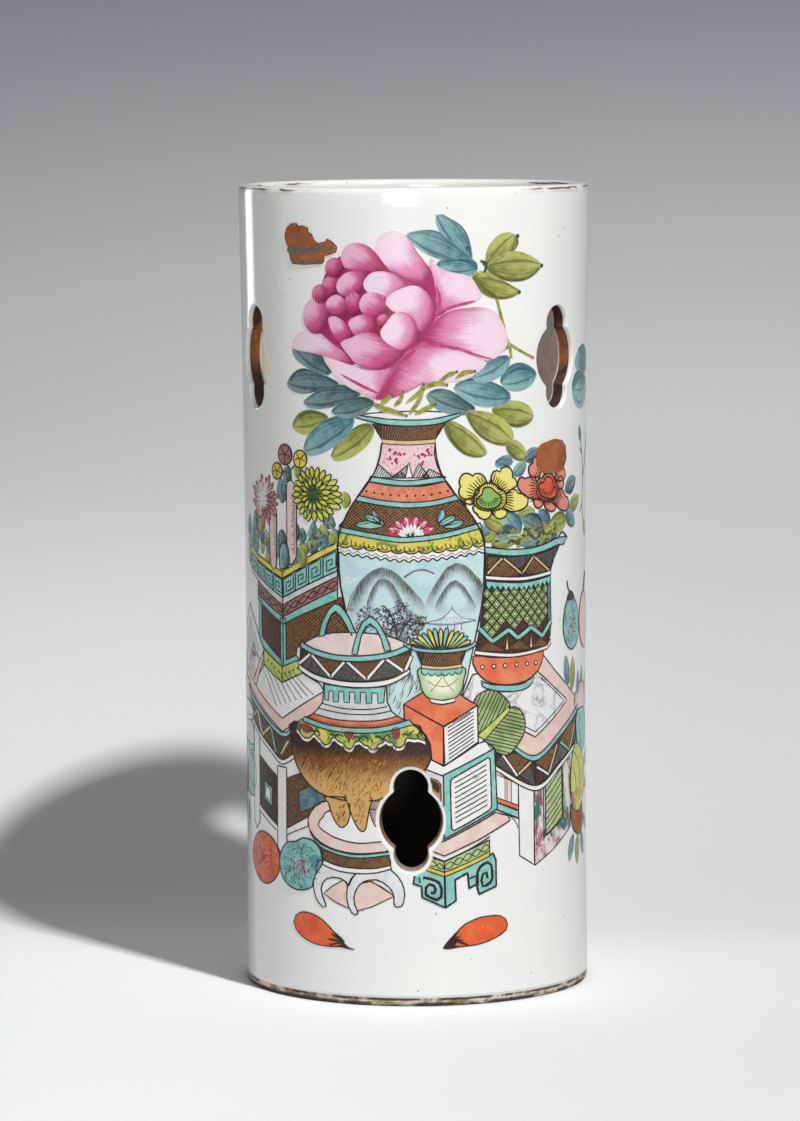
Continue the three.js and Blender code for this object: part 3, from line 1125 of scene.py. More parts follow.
def strip(low, high):
    """A map from shares along and up a band to places on the wall, for its repeating pattern."""
    low, high = soften(low, False, 1.5), soften(high, False, 1.5)
    return lambda u, v: between(share_along(low, u), share_along(high, u), v)


def scallops(place, count, low=0.0, deep=-0.25, round_points=5):
    """Points along a band's lower edge that hangs in round bumps, from right to left."""
    points = []
    for i in range(count):
        for j in range(round_points):
            share = j / round_points
            points.append(place(1 - (i + share) / count, low + deep * math.sin(math.pi * share) ** 0.7))
    return points + [place(0.0, low)]


def weave(painting, place, cells, lines, level, pen="ochre", width=0.22):
    """Rows of slanting strokes in triangles that turn about, as on the vessels' brown bands."""
    for k in range(cells):
        for j in range(lines):
            x = (j + 0.5) / lines
            end = 1 - x
            low, high = ((k + x) / cells, 0.04), ((k + x + 0.5 * end) / cells, 0.04 + 0.92 * end)
            painting.line([place(*low), place(*high)], width, level, False, False, pen)
            low, high = ((k + 0.5 + 1 - x) / cells, 0.96), ((k + 0.5 + 1 - x - 0.5 * end) / cells,
                                                            0.96 - 0.92 * end)
            if low[0] <= 1:
                painting.line([place(*low), place(*high)], width, level, False, False, pen)


def tuft(painting, place, reach, count, start, end, width, level, pen="ink"):
    """Tapered strokes that spread from a place between two angles in degrees."""
    for i in range(count):
        angle = math.radians(start + (end - start) * (i + hand.uniform(0.1, 0.9)) / count)
        out = reach * hand.uniform(0.65, 1.05)
        far = (place[0] + out * math.cos(angle), place[1] + out * math.sin(angle))
        middle = between(place, far, 0.5)
        bend = (middle[0] + hand.uniform(-0.3, 0.3), middle[1] + hand.uniform(-0.3, 0.3))
        painting.line([place, bend, far], width, level, True, True, pen)


def guilloche(painting, place, count, level, width=0.32, swing=0.26):
    """Two waves that cross, along the middle of a strip."""
    for i in range(count):
        for flip in (1, -1):
            run = [place((i + j / 6) / count,
                         0.5 + flip * swing * math.sin(math.pi * j / 6)) for j in range(7)]
            painting.line(run, width, level)


def bars(painting, runs, level, wide=0.55, ink=0.3):
    """Straight bars of enamel, as in the zigzags of bands and aprons."""
    for enamel, a, b in runs:
        run = Vector((b[0] - a[0], b[1] - a[1])).normalized() * wide
        painting.fill(enamel, [(a[0] - run.y, a[1] + run.x), (a[0] + run.y, a[1] - run.x),
                               (b[0] + run.y, b[1] - run.x), (b[0] - run.y, b[1] + run.x)], level, False, ink)


LEAF_EDGE = ((0, 0.1), (0.25, 0.85), (0.55, 1), (0.85, 0.6), (1, 0.05), (0.85, -0.6), (0.55, -1),
             (0.25, -0.85))


def leaf_ring(stem, tip, wide):
    """A leaf's outline from its stem and tip and its half width as a share of its length."""
    run = Vector((tip[0] - stem[0], tip[1] - stem[1]))
    side = Vector((-run.y, run.x)) * wide
    return [tuple(Vector(stem) + run * share + side * out) for share, out in LEAF_EDGE]


def leaf_spray(painting, rows, level=0):
    """Leaves given as enamel, stem, tip and half width, laid in three turns of level."""
    for k, (enamel, stem, tip, wide) in enumerate(rows):
        painting.fill(enamel, leaf_ring(stem, tip, wide), level + k % 3, ink=0.0,
                      axis=(stem, tip), centre=between(stem, tip, 0.5))


def middle_of(points):
    return (sum(p[0] for p in points) / len(points), sum(p[1] for p in points) / len(points))


LINE_PENS = {"ink", "ochre", "cream_line", "magenta_line", "magenta_soft", "stem", "grey_line", "white_line",
             "green_line", "dusty_line", "brown_line", "hair_dark", "hair_gold", "teal_dot", "tree_line"}
print("a motif starts", FIRST_LIFT, "mm over the glaze")

# %% [markdown]
# Overglaze enamels are thin glass, so each colour is glossy and a little uneven: deep where the brush
# left more, pale where it left less. Plain colours share one recipe. Petals and leaves have their own,
# which read how far a point is from the stem and from the edge in the film's own charts.

# %% Plain enamels
ENAMELS = {}


def wash(name, light, dark, scale=0.35, fleck=None, share=0.5, fleck_scale=1.6, gloss=0.2):
    """A brushed colour between two tones, with flecks of a third if one is given."""
    enamel = Finish(name, roughness=gloss)
    place = enamel.place()
    pool = enamel.noise(place, scale, 4, 0.6, 0.4)
    colour = enamel.mix(pool.ramp(0.34, 0.66), srgb(*dark), srgb(*light))
    if fleck:
        spots = enamel.noise(place, fleck_scale, 3, 0.7)
        colour = enamel.mix(spots.ramp(share, share + 0.08), colour, srgb(*fleck))
    enamel.colour(colour)
    enamel.relief(pool, 0.25, 0.05 * MM)
    ENAMELS[name] = enamel.material


wash("ink", (42, 32, 27), (24, 18, 16), 0.8)
wash("ochre", (166, 122, 68), (124, 86, 44), 0.8)
wash("cream_line", (236, 222, 178), (214, 190, 140), 0.8)
wash("magenta_line", (182, 48, 100), (150, 26, 72), 0.8)
wash("magenta_soft", (206, 92, 140), (184, 56, 108), 0.8)
wash("stem", (172, 176, 84), (122, 126, 46), 0.5)
wash("grey_line", (120, 118, 116), (86, 84, 84), 0.8)
wash("white_line", (246, 246, 242), (226, 226, 224), 0.8)
wash("green_line", (70, 104, 60), (40, 70, 40), 0.8)
wash("brown_line", (150, 66, 34), (110, 44, 22), 0.8)
wash("dusty_line", (120, 66, 62), (84, 42, 42), 0.8)
wash("hair_dark", (104, 60, 24), (70, 38, 16), 0.8)
wash("hair_gold", (222, 178, 106), (196, 146, 76), 0.8)
wash("teal_dot", (70, 136, 140), (44, 100, 106), 0.8)
wash("tree_line", (92, 86, 82), (58, 54, 52), 0.8)
print("pens:", len(ENAMELS))

# %% Colours for films
wash("turquoise", (152, 212, 204), (122, 190, 184), 0.3)
wash("pale_blue", (208, 231, 231), (180, 215, 221), 0.1, (224, 238, 236), 0.6, 0.12)
wash("brown", (78, 48, 29), (50, 30, 20), 0.5, (112, 76, 44), 0.62, 1.2)
wash("tan", (196, 158, 110), (166, 126, 80), 0.4, (110, 76, 46), 0.6, 1.5)
wash("coral", (238, 138, 98), (224, 104, 68), 0.12, (236, 128, 90), 0.6, 0.8)
wash("coral_band", (234, 150, 118), (216, 118, 88), 0.3, (196, 76, 62), 0.66, 1.4)
wash("pale_pink", (241, 216, 206), (232, 199, 188), 0.2)
wash("white", (246, 246, 243), (236, 236, 235), 0.2)
wash("grey_white", (226, 226, 226), (206, 206, 208), 0.3)
wash("yellow", (236, 220, 96), (216, 192, 62), 0.3, (190, 176, 60), 0.62, 1.2)
wash("yellow_green", (212, 220, 112), (176, 192, 84), 0.3, (120, 150, 60), 0.64, 1.4)
wash("lattice_green", (192, 212, 150), (162, 190, 120), 0.4, (70, 110, 60), 0.62, 1.8)
wash("cream", (230, 208, 156), (214, 184, 124), 0.3)
wash("speckled_pink", (242, 212, 214), (236, 196, 202), 0.3, (206, 74, 112), 0.57, 1.3)
wash("sepia", (214, 190, 176), (190, 160, 150), 0.3)
wash("rose_ground", (176, 48, 102), (150, 26, 76), 0.2)
wash("pink_ground", (220, 122, 164), (198, 84, 134), 0.15)
wash("persimmon", (226, 112, 62), (198, 78, 40), 0.25, (238, 150, 96), 0.62, 0.5)
wash("dusty_red", (176, 122, 118), (140, 84, 82), 0.5, (222, 190, 180), 0.6, 1.6)
wash("green", (110, 170, 92), (62, 124, 62), 0.3, (36, 90, 50), 0.62, 1.2)
wash("blue_grey", (104, 140, 146), (64, 100, 110), 0.3, (150, 172, 110), 0.6, 0.9)
wash("crimson", (206, 62, 84), (160, 28, 56), 0.5)
wash("patch_stripe", (122, 104, 74), (86, 82, 70), 0.5, (150, 96, 54), 0.58, 1.1)
wash("leather_brown", (166, 98, 48), (142, 76, 34), 0.2, (186, 116, 62), 0.6, 0.4, 0.55)
wash("madder", (160, 66, 70), (134, 44, 56), 0.6)
wash("dome_green", (120, 190, 120), (150, 178, 84), 0.14, (204, 200, 96), 0.6, 0.3)
wash("dome_orange", (230, 104, 58), (206, 84, 52), 0.3, (222, 140, 112), 0.62, 0.5)
wash("stripe_green", (178, 198, 138), (136, 160, 98), 0.16, (96, 128, 76), 0.64, 0.5)
wash("pale_leaf", (214, 222, 166), (192, 208, 138), 0.4)
wash("lattice_leaf", (176, 196, 124), (142, 168, 90), 0.4)
wash("bowl_pink", (240, 226, 220), (228, 206, 199), 0.15)
wash("tree_wash", (150, 164, 166), (112, 118, 118), 0.35, (186, 212, 216), 0.48, 0.5)
wash("seed_red", (236, 108, 56), (222, 82, 36), 0.16, (240, 140, 92), 0.62, 0.5)
wash("leg_white", (236, 238, 237), (218, 221, 223), 0.2)
wash("hut", (226, 238, 238), (208, 226, 230), 0.3)
print("plain enamels:", len(ENAMELS))

# %% Mottled glazes painted on the pots
def mottled(name, ground, second, third, scale):
    """Two more colours that bleed into a ground, as on the vessels' glazed shoulders."""
    enamel = Finish(name, roughness=0.2)
    place = enamel.place()
    first = enamel.noise(place, scale, 4, 0.65, 1.2)
    shifted_place = enamel.node("ShaderNodeVectorMath", {"operation": "ADD"}, place, (31.0, 17.0, 9.0))
    other = enamel.noise(shifted_place, scale * 0.8, 4, 0.65, 1.0)
    colour = enamel.mix(first.ramp(0.5, 0.6), srgb(*ground), srgb(*second))
    colour = enamel.mix(other.ramp(0.56, 0.66), colour, srgb(*third))
    enamel.colour(colour)
    enamel.relief(first, 0.25, 0.05 * MM)
    ENAMELS[name] = enamel.material


mottled("mottle_yellow", (224, 208, 86), (112, 150, 62), (186, 92, 78), 0.17)
mottled("mottle_green", (190, 198, 88), (84, 142, 66), (178, 84, 84), 0.17)
mottled("mottle_fruit", (140, 196, 190), (92, 156, 160), (130, 70, 120), 0.14)
mottled("mottle_pink", (236, 214, 212), (214, 130, 150), (150, 190, 190), 0.2)
mottled("mottle_citron", (214, 214, 92), (188, 120, 90), (130, 170, 90), 0.14)
mottled("mottle_blue", (148, 190, 186), (96, 134, 140), (204, 160, 160), 0.2)
print("with the mottled ones:", len(ENAMELS))

# %% Petals and leaves
def petal_enamel(name, deep, middle, pale, lift):
    """Deep at the base and along the rim there, pale towards the tip, with the brush's fine streaks."""
    petal = Finish(name, roughness=0.2)
    along, across = petal.chart("Field")
    rim, _ = petal.chart("Rim")
    place = petal.place()
    streaks = petal.noise(petal.vector(along * 2.0, across * 34.0), 1.0, 3, 0.6)
    pool = petal.noise(place, 0.12, 3)
    light = along * 1.1 + (1 - rim) * 0.4 + (streaks - 0.5) * 0.6 + (pool - 0.5) * 0.5 + lift
    colour = petal.mix(light.ramp(0.08, 0.62), srgb(*deep), srgb(*middle))
    colour = petal.mix(light.ramp(0.6, 1.15), colour, srgb(*pale))
    edge = rim.ramp(0.8, 1.0) * (1 - along.ramp(0.3, 1.0) * 0.8)
    petal.colour(petal.mix(edge * 0.5, colour, srgb(*deep)))
    petal.relief(streaks, 0.3, 0.05 * MM)
    ENAMELS[name] = petal.material


def leaf_enamel(name, light, dark, vein):
    """Brushed from stem to tip: long streaks and a few veins that meet at both ends, darker at the stem
    and on the lower side, with a soft edge."""
    leaf = Finish(name, roughness=0.2)
    along, across = leaf.chart("Field")
    rim, _ = leaf.chart("Rim")
    place = leaf.place()
    pool = leaf.noise(place, 0.3, 4, 0.6)
    belly = (along * (1 - along) * 4).at_least(0.0) + 0.25
    spread = across / belly
    streaks = leaf.noise(leaf.vector(along * 1.6, spread * 30.0), 1.0, 4, 0.65)
    veins = (spread * 24.0 + (pool - 0.5) * 1.6).sin()
    mask = veins.ramp(0.72, 1.0) * (0.35 + 0.65 * streaks.ramp(0.3, 0.6))
    tone = streaks + (pool - 0.5) * 0.7 + spread * 1.1 + along * 0.35 - rim.ramp(0.75, 0.98) * 0.18
    colour = leaf.mix(tone.ramp(0.3, 0.95), srgb(*dark), srgb(*light))
    colour = leaf.mix(mask * 0.8, colour, srgb(*vein))
    colour = leaf.mix(rim.ramp(0.93, 1.0) * 0.35, colour, srgb(226, 231, 226))
    leaf.colour(colour)
    leaf.relief(streaks, 0.2, 0.04 * MM)
    ENAMELS[name] = leaf.material


petal_enamel("petal_pale", (176, 44, 98), (226, 140, 178), (246, 220, 232), 0.08)
petal_enamel("petal", (146, 22, 72), (204, 84, 134), (240, 188, 212), -0.1)
petal_enamel("petal_deep", (128, 16, 60), (184, 56, 108), (222, 132, 170), -0.12)
petal_enamel("yellow_petal", (190, 168, 62), (228, 210, 84), (238, 226, 122), 0.2)
petal_enamel("coral_petal", (196, 82, 54), (220, 116, 88), (230, 142, 118), 0.1)
petal_enamel("mum_petal", (24, 86, 44), (176, 192, 58), (236, 230, 116), -0.2)
petal_enamel("dusty_petal", (112, 52, 50), (162, 98, 92), (200, 150, 140), -0.1)
leaf_enamel("teal_leaf", (142, 184, 186), (62, 112, 122), (34, 66, 72))
leaf_enamel("dark_leaf", (124, 156, 158), (46, 78, 84), (24, 44, 48))
leaf_enamel("olive_leaf", (186, 190, 104), (112, 116, 46), (66, 66, 26))
leaf_enamel("blue_leaf", (132, 172, 184), (56, 98, 116), (30, 58, 72))
leaf_enamel("seed_leaf", (182, 190, 104), (128, 142, 60), (50, 60, 26))
print("with petals and leaves:", len(ENAMELS))

# %% Hills, fur, cup, brocade and marble
def mountain_enamel(name, sky, rock):
    """Hatched dark under the ridge, fading into the sky below it."""
    hill = Finish(name, roughness=0.2)
    along, across = hill.chart("Field")
    rim, _ = hill.chart("Rim")
    place = hill.place()
    grain = hill.noise(place, 0.35, 4, 0.7)
    strokes = hill.noise(hill.vector(along * 5.0 + across * 3.0, across * 60.0), 1.0, 3, 0.6)
    shade = (rim + (grain - 0.5) * 0.34).ramp(0.42, 0.9) * along.ramp(0.0, 0.6)
    shade = shade * (0.6 + 0.45 * strokes.ramp(0.36, 0.6)) * (1 - rim.ramp(0.96, 1.0) * 0.4)
    colour = hill.mix(shade, srgb(*sky), srgb(*rock))
    hill.colour(colour)
    ENAMELS[name] = hill.material


def fur_enamel(name, dark, brown, gold):
    """The censer's belly: dark above, gold below, with slanting hair-fine streaks."""
    fur = Finish(name, roughness=0.2)
    place = fur.place()
    x, _, z = fur.split(place)
    pool = fur.noise(place, 0.16, 3, 0.6)
    hair = fur.noise(fur.vector(x * 1.5 - z * 0.86, x * 0.12 + z * 0.2), 1.0, 3, 0.6)
    fall = z.ramp(95.0, 73.0) + (pool - 0.5) * 0.35 + (hair - 0.5) * 0.5
    colour = fur.mix(fall.ramp(0.08, 0.5), srgb(*dark), srgb(*brown))
    colour = fur.mix(fall.ramp(0.4, 1.0), colour, srgb(*gold))
    fur.colour(colour)
    fur.relief(hair, 0.25, 0.05 * MM)
    ENAMELS[name] = fur.material


def cup_enamel(name):
    """Pale in the middle and greener at the sides, as light falls through a green cup."""
    cup = Finish(name, roughness=0.2)
    rim, _ = cup.chart("Rim")
    pool = cup.noise(cup.place(), 0.3, 3)
    colour = cup.mix((rim + (pool - 0.5) * 0.5).ramp(0.35, 1.0), srgb(236, 242, 216), srgb(170, 200, 140))
    cup.colour(colour)
    cup.relief(pool, 0.25, 0.05 * MM)
    ENAMELS[name] = cup.material


def brocade_enamel(name):
    """Crimson, green and bare white that run into each other in long soft patches."""
    brocade = Finish(name, roughness=0.2)
    place = brocade.place()
    x, y, z = brocade.split(place)
    long_place = brocade.vector(x, y, z * 0.45)
    red = brocade.noise(long_place, 0.24, 4, 0.6, 0.8)
    leaf = brocade.noise(brocade.vector(x + 40.0, y, z * 0.5 + 9.0), 0.22, 4, 0.6, 0.8)
    colour = brocade.mix(red.ramp(0.47, 0.62), srgb(232, 226, 224), srgb(178, 50, 92))
    colour = brocade.mix(leaf.ramp(0.5, 0.62), colour, srgb(44, 116, 96))
    brocade.colour(colour)
    brocade.relief(red, 0.25, 0.05 * MM)
    ENAMELS[name] = brocade.material


def marble_enamel(name):
    """White stone with a few thin grey veins in soft grey clouds."""
    stone = Finish(name, roughness=0.2)
    place = stone.place()
    run = (stone.noise(place, 0.07, 4, 0.55, 1.4) - 0.5).abs()
    other = (stone.noise(place, 0.045, 3, 0.5, 0.6) - 0.48).abs()
    colour = stone.mix(run.ramp(0.09, 0.0) * 0.4, srgb(240, 240, 238), srgb(176, 177, 184))
    colour = stone.mix(run.ramp(0.014, 0.0) * 0.8, colour, srgb(150, 148, 154))
    colour = stone.mix(other.ramp(0.012, 0.0) * 0.6, colour, srgb(160, 158, 164))
    stone.colour(colour)
    stone.relief(run, 0.2, 0.05 * MM)
    ENAMELS[name] = stone.material


mountain_enamel("mountain", (200, 226, 229), (76, 72, 70))
mountain_enamel("low_hill", (202, 227, 228), (112, 106, 102))
fur_enamel("fur", (40, 22, 10), (142, 88, 36), (214, 168, 98))
cup_enamel("cup_glass")
brocade_enamel("brocade")
marble_enamel("marble")
print("enamels in all:", len(ENAMELS))

# %% [markdown]
# The peony has no ink: its petals are told apart by shading alone, pale at the tip and deep rose at the
# base. So each petal is a ringed film, and the outer ones are laid first, as the painter laid them.

# %% The peony
def petals(painting, rows):
    """Petals or leaves given as enamel, level, base, tip and outline."""
    for enamel, level, base, tip, outline in rows:
        centre = between(base, tip, 0.55)
        painting.fill(enamel, outline, level, ink=0.0, axis=(base, tip), centre=centre)


def bud(place, radius, tall=1.0):
    return [(place[0] + radius * math.cos(a * math.pi / 5),
             place[1] + tall * radius * math.sin(a * math.pi / 5))
            for a in range(10)]


PEONY_PETALS = [
    ("petal_pale", 0, (-21, 226.5), (-42, 233), at("-46,229 -45.5,232.5 -42,235 -37,235.5 -32,234.5 -27,232 "
                                                   "-23.5,228 -20.5,224.5 -24,223.8 -30,225 -34,227 -40,228")),
    ("petal_pale", 1, (-6, 227), (-24, 217), at("-33,226.5 -28,225.5 -22,223.8 -16,222.8 -10,224 -5,227 "
                                                "-7,223 -10,218.5 -13,213 -14,212 -18,214 -22,215.5 -26,218 "
                                                "-30,222")),
    ("petal_pale", 1, (-3, 229), (14, 221), at("-13.5,212 -10,217.5 -7,222.5 -5,227 -2.5,230 0.5,231 4,230.5 "
                                               "10,230 16,228 21,226 25.5,224.5 22,221 17,218.5 12,218 "
                                               "7,217.5 3,217.5 0,216 -4,214 -8,212.5 -11,212")),
    ("petal_pale", 2, (4, 234), (29, 233), at("2,232 5,236 8,240 12,242.5 18,243.5 24,243.5 28.5,242 "
                                              "31,238.5 33,235 33.5,230.5 31,227.5 28,225.5 25.5,225 20,227 "
                                              "14,229.5 8,231")),
    ("petal_pale", 1, (6, 244), (16, 253), at("5,258 6,261 8,258 12,256 17,255 20,253.5 22,250.5 23.5,247.5 "
                                              "21,245.5 16,244.5 11,242.5 7.5,240.5 6.5,245 5.5,250")),
    ("petal_pale", 2, (3, 254), (-9, 267), at("-13,262 -12.5,267 -10,269.5 -6.5,270.3 -3.5,269 -1.5,267 "
                                              "1,263 4,259 6,256 7,251 7.5,247 4,250 0,252.5 -4,254.5 -8,257 "
                                              "-11.5,259")),
    ("petal", 3, (-9, 257.5), (-22, 264), at("-25.5,260 -25,263 -22.5,265.5 -19,266 -15.5,264.8 -12.5,262 "
                                             "-10,258.5 -8,256 -11,255.5 -15,256 -20,256.5 -24,257.5")),
    ("petal_deep", 3, (-26, 255), (-29.5, 259), bud((-28, 257.3), 3.6)),
    ("petal_deep", 3, (-27, 249), (-31, 252.5), bud((-29.5, 250.8), 3.6)),
    ("petal_deep", 3, (-31, 246.5), (-35, 250), bud((-33.7, 248.2), 3.4)),
    ("petal", 3, (-31, 238), (-38, 243), bud((-35.5, 240.5), 5.6, 1.1)),
    ("petal", 4, (-17, 251), (-24, 254.5), at("-27,252.5 -24,255.5 -20,256.5 -16,256.5 -14,254 -16,250.5 "
                                              "-20,248.5 -24,247.5 -27,249.5")),
    ("petal_pale", 5, (-3, 251), (-14, 253), at("-17.5,252 -15,255.5 -11,256.3 -7,255.5 -4,253.5 -1,251.5 "
                                                "-4,249.3 -8,247.5 -12,247 -16,249")),
    ("petal", 4, (-26, 241), (-28, 246), at("-31.5,244.5 -30,247 -27,248 -24,246 -22.5,242.5 -23,239.5 "
                                            "-26,239 -29,240.5")),
    ("petal_deep", 4, (-19, 242), (-22, 247.5), at("-24.5,245 -22.5,248.8 -19.5,248.5 -18,245.5 -17,242.5 "
                                                   "-20,240.3 -22.5,241.5")),
    ("petal", 5, (-9, 243), (-15.5, 247.5), at("-19,245 -17,248.5 -13,248.9 -10,247.5 -8.2,245.5 -7.5,243 "
                                               "-11,241 -14,240.2 -17.5,241.5")),
    ("petal_pale", 6, (5.5, 239), (-4, 248.5), at("-9.5,247 -6,249.7 -2,251.2 1,251.2 4.5,248.8 6.3,245 "
                                                  "7,241 5.6,237 2,234.8 0.3,238 -2,240.5 -5,241.5 -8,243 "
                                                  "-9.8,245")),
    ("petal", 5, (-22, 233.5), (-28, 239), at("-30.5,240 -28,240.6 -25,239.2 -22.5,236.5 -20.2,233.5 -22,231 "
                                              "-25.5,231 -28.5,233.5 -30,237")),
    ("petal", 5, (-13.5, 236), (-20, 240), at("-23,238.5 -20,240.8 -16,241.5 -13.5,240 -11.5,236.8 -12,234.2 "
                                              "-16,233.3 -20.5,234")),
    ("petal_deep", 6, (-10, 237.5), (-11.5, 240.5), bud((-10.6, 239.2), 2.3)),
    ("petal", 7, (-2, 227.5), (-20, 232), at("-26,231.5 -22,233.3 -18,235 -14,235 -11,233.2 -8,231.3 "
                                             "-3.5,229.5 -4,227.2 -7,225 -11,223 -15.5,222.4 -19.5,223.7 "
                                             "-22.8,227")),
    ("petal_pale", 8, (0, 234.5), (-9, 236.5), at("-11.7,235.5 -9.5,238.7 -7,241.7 -3.5,242.3 -0.4,240.2 "
                                                  "1,236.5 0.2,232.6 -2.3,230.2 -5,229.2 -8.2,230.8 "
                                                  "-10.7,232.8")),
]
PEONY_LEAVES = [
    ("teal_leaf", 0, (20, 259.5), (8, 275.5), at("7.2,275.5 9.5,275.9 12,274.5 16,272 18.5,268.5 19.8,264 "
                                                 "20.2,260 19,258.5 16,261 12,265 9,269 7.3,273")),
    ("teal_leaf", 1, (20, 259), (-2, 268.5), at("-3,268.5 0,270 4,270.5 8,270 12,267 17,263 20.5,260 "
                                                "18,258.3 12,259.3 6,261.3 1,264.3")),
    ("teal_leaf", 2, (21, 257), (8, 257), at("7,257.5 9,260 14,260.3 19,260.5 22,258.5 21.5,255.5 18,254 "
                                             "13,253.8 9,255.3")),
    ("olive_leaf", 0, (25.5, 258), (36, 268), at("25,258.5 25.2,263 28,267 31,268.9 35,269 37.5,267.5 38,265 "
                                                 "35,261.5 30,258.5 27,257.3")),
    ("olive_leaf", 1, (26, 257.5), (47.5, 257.5), at("25,257 28,259.8 33,262.2 38,262.6 43,261 47,259 "
                                                     "49,257.5 46,254.5 41,252.3 35,252 29,253.5")),
    ("olive_leaf", 2, (22.5, 253.5), (38, 248.3), at("19.5,253.5 22,256 26,255.7 31,252.9 35,251 38.8,248.8 "
                                                     "36,246.8 31,246 26,247 22,249.7")),
    ("dark_leaf", 0, (-30.5, 221), (-45.5, 229.5), at("-46.5,228 -45.5,231.3 -41,231.2 -36,228.8 -31.5,224.8 "
                                                      "-29.3,221.3 -31,220 -36,220.8 -41,223 -45,225.3")),
    ("dark_leaf", 1, (-27, 217.3), (-48.5, 217), at("-49.5,216.5 -46,220.7 -41,222.3 -35,220.8 -30,219.3 "
                                                    "-26.3,217 -30,215.3 -36,214.2 -42,213.2 -47,214.2")),
    ("dark_leaf", 2, (-19.5, 214), (-41, 210.3), at("-41.8,210.5 -37,213.8 -31,216.3 -25,217 -20,215.2 "
                                                    "-18.6,213.6 -24,211.2 -30,209 -36,208.2 -40,208.7")),
    ("dark_leaf", 3, (-14.5, 210.8), (-29, 207.3), at("-30,207.5 -26,210.8 -21,212.7 -17,212.9 -13.8,211 "
                                                      "-16,208.3 -20,206.2 -25,205.3")),
    ("olive_leaf", 0, (-32, 205), (-46, 202), at("-47,201.5 -45,205.6 -41,207.7 -36,207.7 -31.3,206 "
                                                 "-33,202.8 -37,200.2 -42,199")),
    ("teal_leaf", 1, (-22, 205), (-41.5, 193.5), at("-42,194 -40,198.8 -36,202.3 -31,205.3 -25,206.6 "
                                                    "-21.2,205.7 -22,201.8 -25,198.2 -30,194.7 -35,192.5 "
                                                    "-40,191.8")),
    ("olive_leaf", 0, (-15, 202.5), (-29.5, 192), at("-30.5,192 -28,196.8 -24,200.3 -19.5,203.3 -15.3,203.8 "
                                                     "-14,201 -16,196.8 -20,193.2 -25,190.7 -29,190.4")),
    ("teal_leaf", 3, (33.5, 225.5), (21, 219.5), at("20,220.5 24,224.7 29,226.2 33.5,226.7 34.7,224 32,220.3 "
                                                    "28,218.2 24,217.5 21,218.3")),
    ("teal_leaf", 1, (45.5, 219.5), (31.5, 217), at("30.5,218 34,222.7 39,224 44,222.2 46.5,219.5 44,215.8 "
                                                    "39,214 34,214.5")),
    ("teal_leaf", 2, (34, 212), (14.5, 216), at("13.3,216 18,219.2 24,218.7 30,216.7 34.7,213.5 34.2,210.3 "
                                                "29,209 23,209.2 18,211.3")),
    ("dark_leaf", 1, (20.5, 208), (5, 214), at("3.8,213.3 7,215.7 12,215.2 17,212.2 21.2,209 21.2,207.3 "
                                               "16,206.3 10,207.3 6,209.8")),
    ("olive_leaf", 0, (11.5, 203.5), (25, 192.5), at("10,204.7 14,204.2 19,201.2 23,197.7 25.7,193 22,191.4 "
                                                     "17,192.7 13,196.2 10.3,200.5")),
    ("olive_leaf", 2, (19, 206.5), (35, 197), at("17.8,207.7 24,207.7 30,205.7 35.2,201.5 36.2,197 33,195.2 "
                                                 "28,196 23,198.7 19.3,203")),
    ("olive_leaf", 1, (28, 207.5), (44.5, 205), at("27.3,208.2 32,210.7 38,210.7 43,208.7 45.2,205 43,202.4 "
                                                   "38,201.2 33,202.7 29,205.7")),
    ("olive_leaf", 1, (34, 196), (42, 190.5), at("33,196.2 37,197.2 41,194.2 42.2,190 38,189.7 34,192.3")),
    ("blue_leaf", 0, (29, 189.8), (35.5, 190), at("28.7,189.5 31,191.6 34,192 35.8,190 33,188")),
    ("blue_leaf", 0, (42, 190), (46.5, 192), at("41.2,189.5 43,193.2 46.7,192.8 45.2,188.7")),
    ("teal_leaf", 0, (78, 218.5), (73, 227), at("71,222 74,226.5 80,228.5 86,226.5 89,221 83,217.5 76,218")),
    ("teal_leaf", 1, (84, 214), (70, 213), at("68.5,214.5 72,219 79,219 86,216 87,210 79,205.5 71,208")),
]


